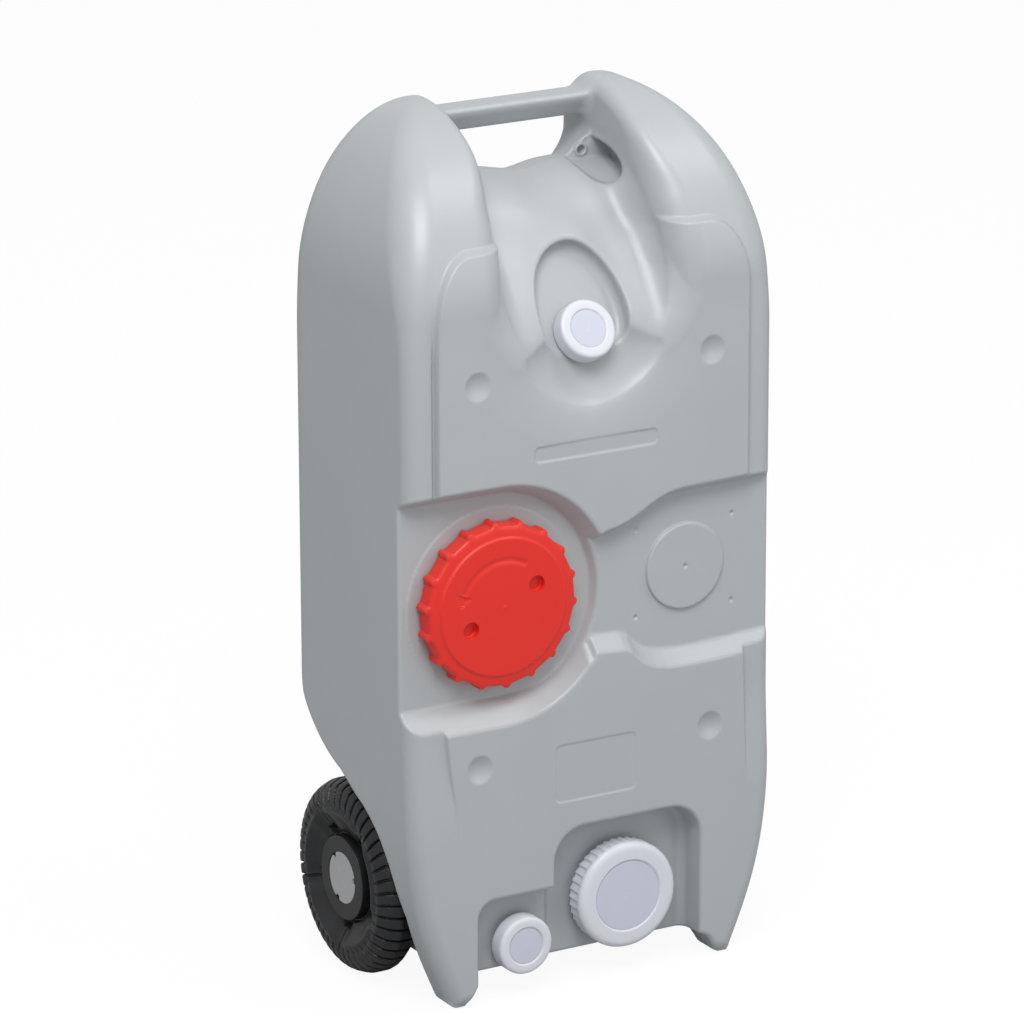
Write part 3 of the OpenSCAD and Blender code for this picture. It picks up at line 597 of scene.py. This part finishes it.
def tank_field(g):
    """Distance from the moulding's skin, negative inside it."""
    solid = cut_underside(g, tank_body(g))
    dome = dome_air(g)
    solid = cut_valley(g, solid, dome)
    solid = cut_vent_pocket(g, solid)
    solid = cut_recess(g, solid)
    solid = cut_cap_pockets(g, solid)
    solid = mark_front(g, solid)
    solid = mark_recess(g, solid)
    solid = add_bar(g, solid)
    solid = add_webs(g, solid, dome)
    solid = add_necks(g, solid)
    return np.ascontiguousarray(np.broadcast_to(solid, g.shape), dtype=np.float32)


def tank_mesh(coarse):
    """The moulding's skin. The grid is finer where edges and small marks lie."""
    step = 4.0 if coarse else 2.0
    fine = step / 2
    marks_x = ((-162, -104), (-73, -59), (-45, -38), (38, 52), (59, 73), (96, 162))
    marks_z = ((176, 182), (211, 240), (332, 338), (373, 379), (414, 420),
               (496, 501), (511, 516), (562, 592), (626, 700), (729, 742))
    zones_y = [(FRONT_Y - 3, FRONT_Y + 34, 0.75 * step), (14, 62, step), (25, 35, fine), (96, 116, step)]
    g = Grid(grid_lines(-HALF_W - 5, HALF_W + 5, step, [(low, high, fine) for low, high in marks_x]),
             grid_lines(FRONT_Y - 5, BACK_Y + 6, 1.5 * step, zones_y),
             grid_lines(-6, TOP_Z + 6, step, [(low, high, fine) for low, high in marks_z]))
    field = tank_field(g)
    points, faces = skin(field, g.lines)
    for _ in range(2):
        slope, size = slope_at(field, g.lines, points)
        move = np.clip(field_at(field, g.lines, points) / np.maximum(size, 0.3), -0.6, 0.6)
        points = points - slope * move[:, None]
    slope, _ = slope_at(field, g.lines, points)
    return mesh_from_arrays("tank_moulding", points, faces, slope)


# Turned parts

def soften(corners, steps=5):
    """A profile from corners (radius, height, fillet), each corner rounded by its fillet."""
    points = [np.array(corners[0][:2], float)]
    for before, here, after in zip(corners, corners[1:], corners[2:]):
        p = np.array(here[:2], float)
        back, ahead = np.array(before[:2]) - p, np.array(after[:2]) - p
        lengths = np.linalg.norm(back), np.linalg.norm(ahead)
        fillet = here[2]
        if fillet <= 0:
            points.append(p)
            continue
        u, v = back / lengths[0], ahead / lengths[1]
        half = math.acos(float(np.clip(u @ v, -1, 1))) / 2
        cut = min(fillet / math.tan(half), 0.48 * min(lengths))
        a, b = p + u * cut, p + v * cut
        for i in range(steps + 1):
            t = i / steps
            points.append((1 - t) ** 2 * a + 2 * t * (1 - t) * p + t * t * b)
    points.append(np.array(corners[-1][:2], float))
    return np.array(points)


def fill_in(profile, longest, beyond=0.0):
    """Adds points where a profile runs further than the longest step, outside a radius."""
    dense = [profile[0]]
    for a, b in zip(profile, profile[1:]):
        steps = 1
        if max(a[0], b[0]) > beyond:
            steps = max(1, math.ceil(float(np.linalg.norm(b - a)) / longest))
        dense += [a + (b - a) * i / steps for i in range(1, steps + 1)]
    return np.array(dense)


def turned(name, profile, count, place, shape=None, closed=False):
    """A turned mesh whose heights run outwards. shape(radius, height, angle) may move its points."""
    angles = np.arange(count) * 2 * math.pi / count
    radius = np.repeat(profile[:, 0][None, :], count, axis=0)
    height = np.repeat(profile[:, 1][None, :], count, axis=0)
    turn = np.repeat(angles[:, None], len(profile), axis=1)
    if shape is not None:
        radius, height = shape(radius, height, turn)
    local = np.stack([radius * np.cos(turn), radius * np.sin(turn), height], axis=2)
    points = local.reshape(-1, 3)
    rows = len(profile)
    faces = []
    last = rows if closed else rows - 1
    for i in range(count):
        j = (i + 1) % count
        for k in range(last):
            m = (k + 1) % rows
            faces.append((i * rows + k, j * rows + k, j * rows + m, i * rows + m))
    world = [place @ Vector(p) for p in points.tolist()]
    mesh = bpy.data.meshes.new(name)
    mesh.from_pydata([tuple(c * MM for c in p) for p in world], [], faces)
    piece = bpy.data.objects.new(name, mesh)
    bpy.context.scene.collection.objects.link(piece)
    tidy(piece)
    return piece


def tidy(piece, sharp_deg=35):
    """Joins doubled points, turns the faces outwards and shades them smooth up to an angle."""
    bm = bmesh.new()
    bm.from_mesh(piece.data)
    bmesh.ops.remove_doubles(bm, verts=bm.verts, dist=1e-6)
    bmesh.ops.recalc_face_normals(bm, faces=bm.faces)
    bm.to_mesh(piece.data)
    bm.free()
    piece.data.shade_smooth()
    piece.data.set_sharp_from_angle(angle=math.radians(sharp_deg))


def facing_front(point, tilt=0.0):
    """A frame at the point whose height axis points forwards, tilted upwards."""
    up = Vector((0, math.sin(tilt), math.cos(tilt)))
    out = Vector((0, -math.cos(tilt), math.sin(tilt)))
    axes = Matrix((Vector((1, 0, 0)), up, out)).transposed().to_4x4()
    return Matrix.Translation(Vector(point)) @ axes


def beside(side):
    """A frame on the wheel's axis whose height axis points outwards on one side."""
    axes = Matrix((Vector((0, side, 0)), Vector((0, 0, 1)), Vector((side, 0, 0)))).transposed().to_4x4()
    return Matrix.Translation(Vector((0, WHEEL_Y, WHEEL_Z))) @ axes


def add_piece(piece, body, nodes, material):
    """Puts a piece on its body in place of its solids and material."""
    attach(piece, body)
    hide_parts(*nodes)
    piece.data.materials.clear()
    piece.data.materials.append(material)


def cut_holes(piece, holes):
    """Cuts round holes, each (place, radius, depth), into a piece."""
    for number, (place, radius, depth) in enumerate(holes):
        profile = soften([(0, -depth, 0), (radius, -depth, 1.2), (radius, 2, 0), (0, 2, 0)])
        cutter = turned(f"cutter_{number}", profile, 48, place)
        change = piece.modifiers.new("hole", "BOOLEAN")
        change.operation = "DIFFERENCE"
        change.solver = "EXACT"
        change.object = cutter
        mesh = bpy.data.meshes.new_from_object(piece.evaluated_get(bpy.context.evaluated_depsgraph_get()))
        piece.modifiers.clear()
        piece.data = mesh
        bpy.data.objects.remove(cutter)
    piece.data.shade_smooth()
    piece.data.set_sharp_from_angle(angle=math.radians(35))


# Materials

def new_group(name, inputs, outputs):
    """A node group with its named sockets, each (label, kind, value) or (label, kind)."""
    group = bpy.data.node_groups.new(name, "ShaderNodeTree")
    for label, kind, value in inputs:
        socket = group.interface.new_socket(label, in_out="INPUT", socket_type=kind)
        if value is not None:
            socket.default_value = value
    for label, kind in outputs:
        group.interface.new_socket(label, in_out="OUTPUT", socket_type=kind)
    source = group.nodes.new("NodeGroupInput")
    sink = group.nodes.new("NodeGroupOutput")
    return group, source, sink


def add_node(tree, kind, **values):
    """Adds a node and sets its properties."""
    node = tree.nodes.new(kind)
    for key, value in values.items():
        setattr(node, key, value)
    return node


def math_node(tree, operation, a, b=None, clamp=False):
    """Adds a math node on one or two numbers or sockets, and gives its output."""
    node = add_node(tree, "ShaderNodeMath", operation=operation, use_clamp=clamp)
    for socket, value in zip(node.inputs, (a, b)):
        if value is None:
            continue
        if isinstance(value, (int, float)):
            socket.default_value = value
        else:
            tree.links.new(value, socket)
    return node.outputs[0]


def noise_node(tree, coordinates, scale, detail=2.0, roughness=0.5):
    """Adds a noise texture, and gives its output."""
    node = add_node(tree, "ShaderNodeTexNoise")
    tree.links.new(coordinates, node.inputs["Vector"])
    if isinstance(scale, (int, float)):
        node.inputs["Scale"].default_value = scale
    else:
        tree.links.new(scale, node.inputs["Scale"])
    node.inputs["Detail"].default_value = detail
    node.inputs["Roughness"].default_value = roughness
    return node.outputs["Fac"]


def build_grain_group():
    """Fine moulded grain with broad, faint unevenness."""
    group, source, sink = new_group(
        "moulded_grain",
        [("Grain Scale", "NodeSocketFloat", 900.0), ("Flow Scale", "NodeSocketFloat", 14.0)],
        [("Height", "NodeSocketFloat"), ("Flow", "NodeSocketFloat")])
    place = add_node(group, "ShaderNodeTexCoord").outputs["Object"]
    grain = noise_node(group, place, source.outputs["Grain Scale"], 3.0)
    flow = noise_node(group, place, source.outputs["Flow Scale"], 2.0)
    group.links.new(grain, sink.inputs["Height"])
    group.links.new(flow, sink.inputs["Flow"])
    return group


def build_wear_group():
    """Rubbed edges: a mask that grows on convex edges, broken up by noise."""
    group, source, sink = new_group(
        "rubbed_edges", [("Start", "NodeSocketFloat", 0.52), ("Width", "NodeSocketFloat", 0.08)],
        [("Mask", "NodeSocketFloat")])
    place = add_node(group, "ShaderNodeTexCoord").outputs["Object"]
    pointed = add_node(group, "ShaderNodeNewGeometry").outputs["Pointiness"]
    above = math_node(group, "SUBTRACT", pointed, source.outputs["Start"])
    grown = math_node(group, "DIVIDE", above, source.outputs["Width"], clamp=True)
    broken = math_node(group, "MULTIPLY", grown, noise_node(group, place, 120.0, 3.0), clamp=True)
    group.links.new(broken, sink.inputs["Mask"])
    return group


def build_dust_group():
    """Settled dust: a mask on surfaces that face up, patchy."""
    group, source, sink = new_group(
        "settled_dust", [("Amount", "NodeSocketFloat", 0.1)], [("Mask", "NodeSocketFloat")])
    place = add_node(group, "ShaderNodeTexCoord").outputs["Object"]
    normal = add_node(group, "ShaderNodeNewGeometry").outputs["Normal"]
    parts = add_node(group, "ShaderNodeSeparateXYZ")
    group.links.new(normal, parts.inputs[0])
    facing = math_node(group, "MAXIMUM", parts.outputs["Z"], 0.0)
    patch = noise_node(group, place, 30.0, 4.0, 0.6)
    patchy = math_node(group, "MULTIPLY", facing, patch)
    mask = math_node(group, "MULTIPLY", patchy, source.outputs["Amount"], clamp=True)
    group.links.new(mask, sink.inputs["Mask"])
    return group


GRAIN = build_grain_group()
WEAR = build_wear_group()
DUST = build_dust_group()


def plastic(name, colour, worn, dusty, roughness, grain_scale=900.0, grain_depth=0.00004, flow=0.03,
            specular=0.5, wear_start=0.53, dust=0.15, metallic=0.0):
    """A moulded finish: faint mottling, rubbed edges, settled dust and a fine grain."""
    material = bpy.data.materials.new(name)
    material.use_nodes = True
    tree = material.node_tree
    shader = tree.nodes["Principled BSDF"]
    shader.inputs["Specular IOR Level"].default_value = specular
    shader.inputs["Metallic"].default_value = metallic
    grain = add_node(tree, "ShaderNodeGroup", node_tree=GRAIN)
    grain.inputs["Grain Scale"].default_value = grain_scale
    wear = add_node(tree, "ShaderNodeGroup", node_tree=WEAR)
    wear.inputs["Start"].default_value = wear_start
    dirt = add_node(tree, "ShaderNodeGroup", node_tree=DUST)
    dirt.inputs["Amount"].default_value = dust
    tone = add_node(tree, "ShaderNodeMix", data_type="RGBA")
    dark = [c * (1 - flow) for c in colour]
    light = [min(1.0, c * (1 + flow)) for c in colour]
    tone.inputs["A"].default_value = (*dark, 1)
    tone.inputs["B"].default_value = (*light, 1)
    tree.links.new(grain.outputs["Flow"], tone.inputs["Factor"])
    rubbed = add_node(tree, "ShaderNodeMix", data_type="RGBA")
    tree.links.new(wear.outputs["Mask"], rubbed.inputs["Factor"])
    tree.links.new(tone.outputs["Result"], rubbed.inputs["A"])
    rubbed.inputs["B"].default_value = (*worn, 1)
    dusted = add_node(tree, "ShaderNodeMix", data_type="RGBA")
    tree.links.new(dirt.outputs["Mask"], dusted.inputs["Factor"])
    tree.links.new(rubbed.outputs["Result"], dusted.inputs["A"])
    dusted.inputs["B"].default_value = (*dusty, 1)
    tree.links.new(dusted.outputs["Result"], shader.inputs["Base Color"])
    rough = math_node(tree, "MULTIPLY_ADD", grain.outputs["Flow"], 0.10)
    rough.node.inputs[2].default_value = roughness - 0.05
    dull = math_node(tree, "MULTIPLY_ADD", dirt.outputs["Mask"], 0.3)
    tree.links.new(rough, dull.node.inputs[2])
    tree.links.new(dull, shader.inputs["Roughness"])
    bump = add_node(tree, "ShaderNodeBump")
    bump.inputs["Strength"].default_value = 0.35
    bump.inputs["Distance"].default_value = grain_depth
    tree.links.new(grain.outputs["Height"], bump.inputs["Height"])
    tree.links.new(bump.outputs["Normal"], shader.inputs["Normal"])
    return material


def srgb(*channels):
    """A colour from its screen values, which run from 0 to 255."""
    shares = [channel / 255 for channel in channels]
    return tuple(c / 12.92 if c <= 0.04045 else ((c + 0.055) / 1.055) ** 2.4 for c in shares)


TANK_GREY = plastic("tank_grey_polyethylene", srgb(172, 177, 180), srgb(196, 200, 204),
                    srgb(190, 188, 182), 0.36, specular=0.6)
CAP_RED = plastic("cleanout_cap_red", srgb(225, 40, 27), srgb(240, 96, 80), srgb(200, 120, 108), 0.38)
CAP_WHITE = plastic("screw_ring_white", srgb(214, 216, 224), srgb(240, 240, 244),
                    srgb(206, 204, 198), 0.36)
DISC_GREY = plastic("closing_disc_pale_grey", srgb(197, 201, 215), srgb(215, 218, 226),
                    srgb(190, 190, 186), 0.4)
WHEEL_BLACK = plastic("wheel_black_moulding", srgb(27, 28, 31), srgb(60, 62, 66), srgb(84, 82, 78), 0.36,
                      grain_scale=500.0, grain_depth=0.00006, flow=0.1)
HUB_GREY = plastic("hub_cap_grey", srgb(170, 173, 175), srgb(196, 198, 200), srgb(186, 184, 178), 0.4)
SEAL_BLACK = plastic("seal_rubber", srgb(34, 34, 35), srgb(60, 60, 60), srgb(90, 88, 84), 0.7,
                     grain_scale=700.0, grain_depth=0.00008, flow=0.1)
BUSH_NYLON = plastic("bush_nylon", srgb(222, 218, 206), srgb(236, 232, 222), srgb(190, 186, 176), 0.45)
ZINC = plastic("axle_zinc", srgb(186, 188, 190), srgb(222, 222, 222), srgb(150, 148, 144), 0.32,
               grain_scale=400.0, grain_depth=0.00003, flow=0.08, dust=0.1, metallic=1.0)


def finish_node(node, material):
    """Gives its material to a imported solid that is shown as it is."""
    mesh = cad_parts[node].data
    mesh.materials.clear()
    mesh.materials.append(material)


for cap_name in ("cleanout", "vent", "drain", "spout"):
    finish_node(cap_name + "_seal", SEAL_BLACK)
finish_node("axle", ZINC)
for side_name in ("left", "right"):
    for stem in ("outer_bush", "inner_bush"):
        finish_node(f"{stem}_{side_name}", BUSH_NYLON)
    for stem in ("outer_washer", "inner_washer", "push_nut"):
        finish_node(f"{stem}_{side_name}", ZINC)


# Tank

tank = bpy.data.objects.new("tank_moulding", tank_mesh(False))
bpy.context.scene.collection.objects.link(tank)
add_piece(tank, "tank", TANK_HALVES, TANK_GREY)


# Caps

LUGS = 18
LUG_HALF_W = 3.6
CLEAN_CAP_R = 74
CLEAN_FACE_R = 62
CLEAN_SKIRT = 20.5
ARROW_R = 43
ARROW_START, ARROW_END = 1.0, 2.75
KEY_REACH, KEY_R, KEY_T = 37, 8, 7
KEY_TURN = math.radians(26)
THREAD_GAP = 0.6


def lug_shape(radius, height, turn):
    """Flat sides with a rounded lug at each corner, and a turning arrow pressed into the face."""
    part = 2 * math.pi / LUGS
    off = (turn + part / 2 + 0.1) % part - part / 2
    chord = np.cos(part / 2) / np.cos(part / 2 - np.abs(off))
    skirt = smooth((radius - 66) / 5)
    low = smooth((-2.6 - height) / 2.2)
    lug = np.sqrt(np.clip(1 - (off * CLEAN_CAP_R / LUG_HALF_W) ** 2, 0, 1))
    face = (radius < CLEAN_FACE_R) & (height > -2)
    from_arrow = np.abs(radius - ARROW_R)
    shaft = smooth((2.2 - from_arrow) / 0.9)
    shaft = shaft * smooth((turn - ARROW_START) / 0.03) * smooth((ARROW_END - turn) / 0.03)
    along = (turn - ARROW_END) * ARROW_R
    head = smooth((1.0 - from_arrow / np.maximum(8.5 - along * 0.75, 0.01)) * 7)
    head = head * smooth(along / 1.2) * smooth((12 - along) / 1.2)
    nub = smooth(1 - radius / 1.6)
    height = np.where(face, height - np.maximum(shaft, head) + 0.8 * nub, height)
    radius = radius * (1 - skirt * (1 - chord)) + skirt * (1.0 + 2.8 * lug * low)
    return radius, height


clean_face = (CLEAN[0], FRONT_Y, CLEAN[2])
clean_thread_r = CLEAN_NECK_R + THREAD_GAP
profile = soften([
    (clean_thread_r, -CLEAN_SKIRT, 0), (CLEAN_CAP_R, -CLEAN_SKIRT, 0.8), (CLEAN_CAP_R, -3.0, 4.5),
    (64.5, -1.9, 1.2), (62.5, -0.3, 1.5), (0.01, 0, 0), (0.01, -9.8, 0),
    (49, -9.8, 0.5), (49, -4.9, 0.5), (clean_thread_r, -4.9, 1)])
cap = turned("cleanout_cap_lugged", fill_in(profile, 1.6), LUGS * 24, facing_front(clean_face), lug_shape,
             closed=True)
key_holes = []
for way in (-1, 1):
    key_x = CLEAN[0] + way * KEY_REACH * math.cos(KEY_TURN)
    key_z = CLEAN[2] + way * KEY_REACH * math.sin(KEY_TURN)
    key_holes.append((facing_front((key_x, FRONT_Y, key_z)), KEY_R, KEY_T))
add_piece(cap, "cleanout_cap", ["cleanout_cap"], CAP_RED)


def ring_profile(cap_r, height, neck_r, window_r, round_r):
    """A screw ring with a window in its face."""
    thread_r = neck_r + THREAD_GAP
    return soften([
        (thread_r, -height, 0), (cap_r, -height, 0.8), (cap_r, 0, round_r), (window_r + 1.4, 0, 1.5),
        (window_r, -1.2, 0.3), (window_r, -3, 0.2), (thread_r, -3, 0.5)])


def disc_profile(neck_r, window_r):
    """A closing disc with its step in the ring's window."""
    return soften([
        (0.01, -5.65, 0), (neck_r - 0.2, -5.65, 0.3), (neck_r - 0.2, -3.15, 0.3),
        (window_r - 0.12, -3.15, 0.2), (window_r - 0.12, -1.0, 0.3), (0.01, -1.0, 0)])


RIBS = 40


def rib_shape(radius, height, turn):
    """Saw-tooth ribs on the skirt that run out below the rounded rim."""
    part = 2 * math.pi / RIBS
    off = (turn % part) / part
    tooth = np.where(off < 0.75, off / 0.75, (1 - off) / 0.25)
    skirt = smooth((radius - 47) / 2) * smooth((-5.0 - height) / 4)
    return radius - skirt * 1.7 * (1 - tooth) - 0.05 * np.maximum(-height - 4, 0), height


# Each ring: its stem, place, outer radius, height, neck, window, rounding and shape
SCREW_RINGS = (
    ("drain", facing_front((DRAIN[0], FRONT_Y, DRAIN[2])), 50.5, 22, DRAIN_NECK_R, 33, 10, rib_shape),
    ("spout", facing_front((SPOUT[0], FRONT_Y, SPOUT[2])), SMALL_CAP_R, 16, SMALL_NECK_R, 17, 6.5, None),
    ("vent", facing_front(VENT_FACE, VENT_TILT), SMALL_CAP_R, 16, SMALL_NECK_R, 17, 6, None))

for stem, place, cap_r, height, neck_r, window_r, round_r, shape in SCREW_RINGS:
    profile = fill_in(ring_profile(cap_r, height, neck_r, window_r, round_r), 2.5)
    ring = turned(stem + "_ring_turned", profile, RIBS * 8 if shape else 128, place, shape, closed=True)
    add_piece(ring, stem + "_ring", [stem + "_ring"], CAP_WHITE)
    disc = turned(stem + "_disc_turned", fill_in(disc_profile(neck_r, window_r), 2.5), 128, place)
    add_piece(disc, stem + "_plug", [stem + "_disc"], DISC_GREY)


# Wheels

TREADS = 44
SEAMS = 5
NOTCHES = 3
HUB_BORE_R = 10.02
HUB_INNER_X = 138.8
HUB_CAP_R = 24


def wheel_profile():
    """The wheel from the hub's inner end over the tread to the hub's outer pocket."""
    h = HALF_W
    r = WHEEL_R
    return soften([
        (HUB_BORE_R, HUB_INNER_X, 0), (34, HUB_INNER_X, 2), (42, h - 37, 3), (60, h - 37, 4),
        (68, h - 43, 4), (80, h - 42, 9), (r, h - 30, 9), (r, h - 17, 10), (r - 5, h - 5, 12),
        (r - 17, h, 9), (r - 27, h - 1.5, 7), (r - 38, h - 8, 5), (41, h - 13, 2), (39.5, h - 13, 0.5),
        (39, h - 3.2, 1), (24.6, h - 3.2, 0.6), (24.2, h - 5, 0), (20, h - 5, 0), (20, h - 15, 0),
        (HUB_BORE_R, h - 15, 0)])


def wheel_shape(radius, height, turn):
    """Tread slots over the shoulders and the tread, and five sectors with seams on the outer wall."""
    part = 2 * math.pi / TREADS
    bend = 0.05 * smooth((WHEEL_R - 4 - radius) / 20)
    off = np.abs((turn + bend + part / 2) % part - part / 2) * radius
    zone = smooth((radius - WHEEL_R + 27) / 12) * smooth((height - HALF_W + 42) / 3)
    slot = zone * smooth((1.5 - off) / 0.8)
    crown = zone * 0.7 * smooth(off / 3.5)
    outward = smooth((height - HALF_W + 14) / 8)
    radius = radius - 3.2 * slot * (1 - 0.5 * outward) - 0.7 * zone + crown
    height = height - 2.4 * slot * outward
    sector = 2 * math.pi / SEAMS
    seam_off = np.abs((turn + 0.35 + sector / 2) % sector - sector / 2) * radius
    wall = smooth((radius - 40.5) / 2) * smooth((72 - radius) / 4) * smooth((height - HALF_W + 20) / 3)
    seam = wall * smooth((1.5 - seam_off) / 1.2)
    pit = wall * smooth((8.5 - seam_off) / 3) * smooth((51 - radius) / 3)
    swell = wall * smooth((seam_off - 2) / 14) * smooth((70 - radius) / 10)
    height = height - 2.2 * seam - 7 * pit + 3.2 * swell
    return radius, height


def notch_shape(radius, height, turn):
    """Notches cut into the hub cap's rim."""
    part = 2 * math.pi / NOTCHES
    off = np.abs((turn + 0.9) % part - part / 2) * HUB_CAP_R
    notch = smooth((3.4 - off) / 0.8) * smooth((radius - HUB_CAP_R + 3) / 2)
    return radius - 3.2 * notch, height


wheel_section = fill_in(wheel_profile(), 1.8, 38)
hub_section = fill_in(soften([
    (0.01, HALF_W - 5, 0), (HUB_CAP_R, HALF_W - 5, 0.2), (HUB_CAP_R, HALF_W - 3.4, 0.6),
    (0.01, HALF_W - 3.4, 0)]), 1.5)
for side_name, side in (("left", -1), ("right", 1)):
    body = "wheel_" + side_name
    wheel = turned("wheel_treaded_" + side_name, wheel_section, TREADS * 16, beside(side), wheel_shape,
                   closed=True)
    add_piece(wheel, body, [body], WHEEL_BLACK)
    hub = turned("hub_cap_notched_" + side_name, hub_section, 180, beside(side), notch_shape)
    add_piece(hub, body, ["hub_cap_" + side_name], HUB_GREY)

cut_holes(cap, key_holes)


# Floor, light and camera

def emission_material(name, colour, strength, camera_share):
    """A matt surface that the camera sees paler than the light makes it."""
    material = bpy.data.materials.new(name)
    material.use_nodes = True
    tree = material.node_tree
    shader = tree.nodes["Principled BSDF"]
    shader.inputs["Base Color"].default_value = (*colour, 1)
    shader.inputs["Roughness"].default_value = 0.9
    shader.inputs["Specular IOR Level"].default_value = 0.1
    glow = add_node(tree, "ShaderNodeEmission")
    glow.inputs["Strength"].default_value = strength
    rays = add_node(tree, "ShaderNodeLightPath")
    share = math_node(tree, "MULTIPLY", rays.outputs["Is Camera Ray"], camera_share)
    mix = add_node(tree, "ShaderNodeMixShader")
    tree.links.new(share, mix.inputs[0])
    tree.links.new(shader.outputs[0], mix.inputs[1])
    tree.links.new(glow.outputs[0], mix.inputs[2])
    tree.links.new(mix.outputs[0], tree.nodes["Material Output"].inputs["Surface"])
    return material


FLOOR_HALF = 6
floor_mesh = bpy.data.meshes.new("studio_floor")
floor_corners = [(x * FLOOR_HALF, y * FLOOR_HALF, 0) for x, y in ((-1, -1), (1, -1), (1, 1), (-1, 1))]
floor_mesh.from_pydata(floor_corners, [], [(0, 1, 2, 3)])
floor = bpy.data.objects.new("studio_floor", floor_mesh)
bpy.context.scene.collection.objects.link(floor)
floor_mesh.materials.append(emission_material("studio_floor_white", (0.45, 0.45, 0.45), 1.1, 0.85))

WORLD_LIGHT = 0.58
world = bpy.data.worlds.new("studio")
bpy.context.scene.world = world
world.use_nodes = True
tree = world.node_tree
back = tree.nodes["Background"]
rays = add_node(tree, "ShaderNodeLightPath")
seen = math_node(tree, "MAXIMUM", rays.outputs["Is Camera Ray"], rays.outputs["Is Transmission Ray"])
level = math_node(tree, "MULTIPLY_ADD", seen, 1 - WORLD_LIGHT)
level.node.inputs[2].default_value = WORLD_LIGHT
back.inputs["Color"].default_value = (1, 1, 1, 1)
tree.links.new(level, back.inputs["Strength"])


def area_light(name, place, aim, size, power):
    """A rectangular white lamp that points at its aim."""
    data = bpy.data.lights.new(name, "AREA")
    data.shape = "RECTANGLE"
    data.size, data.size_y = size
    data.energy = power
    light = bpy.data.objects.new(name, data)
    light.location = place
    light.rotation_euler = (Vector(aim) - Vector(place)).to_track_quat("-Z", "Y").to_euler()
    bpy.context.scene.collection.objects.link(light)


area_light("key_softbox", (-0.95, -1.6, 2.8), (0, 0, 0.45), (1.5, 1.2), 52)
area_light("top_softbox", (1.45, -1.15, 3.1), (0, 0, 0.6), (0.9, 1.2), 18)
area_light("left_strip", (-1.9, -2.4, 1.3), (0, 0, 0.5), (0.25, 1.6), 2)
area_light("right_strip", (1.6, -2.8, 1.2), (0, 0, 0.5), (0.3, 1.6), 7)


def place_camera():
    """The photograph's view: a long lens, from the front left and above."""
    place = Vector((-2.5746, -4.4603, 2.0260))
    yaw, pitch, roll = math.radians(29.8), math.radians(17.38), math.radians(-0.17)
    ahead = Vector((math.sin(yaw) * math.cos(pitch), math.cos(yaw) * math.cos(pitch), -math.sin(pitch)))
    level_right = Vector((math.cos(yaw), -math.sin(yaw), 0))
    level_up = level_right.cross(ahead)
    right = level_right * math.cos(roll) + level_up * math.sin(roll)
    up = right.cross(ahead)
    data = bpy.data.cameras.new("photo_camera")
    data.sensor_width = 36
    data.sensor_fit = "HORIZONTAL"
    data.lens = 211.1
    data.clip_end = 50
    camera = bpy.data.objects.new("photo_camera", data)
    axes = Matrix((right, up, -ahead)).transposed().to_4x4()
    camera.matrix_world = Matrix.Translation(place) @ axes
    bpy.context.scene.collection.objects.link(camera)
    bpy.context.scene.camera = camera


place_camera()
bpy.context.scene.view_settings.view_transform = "Standard"
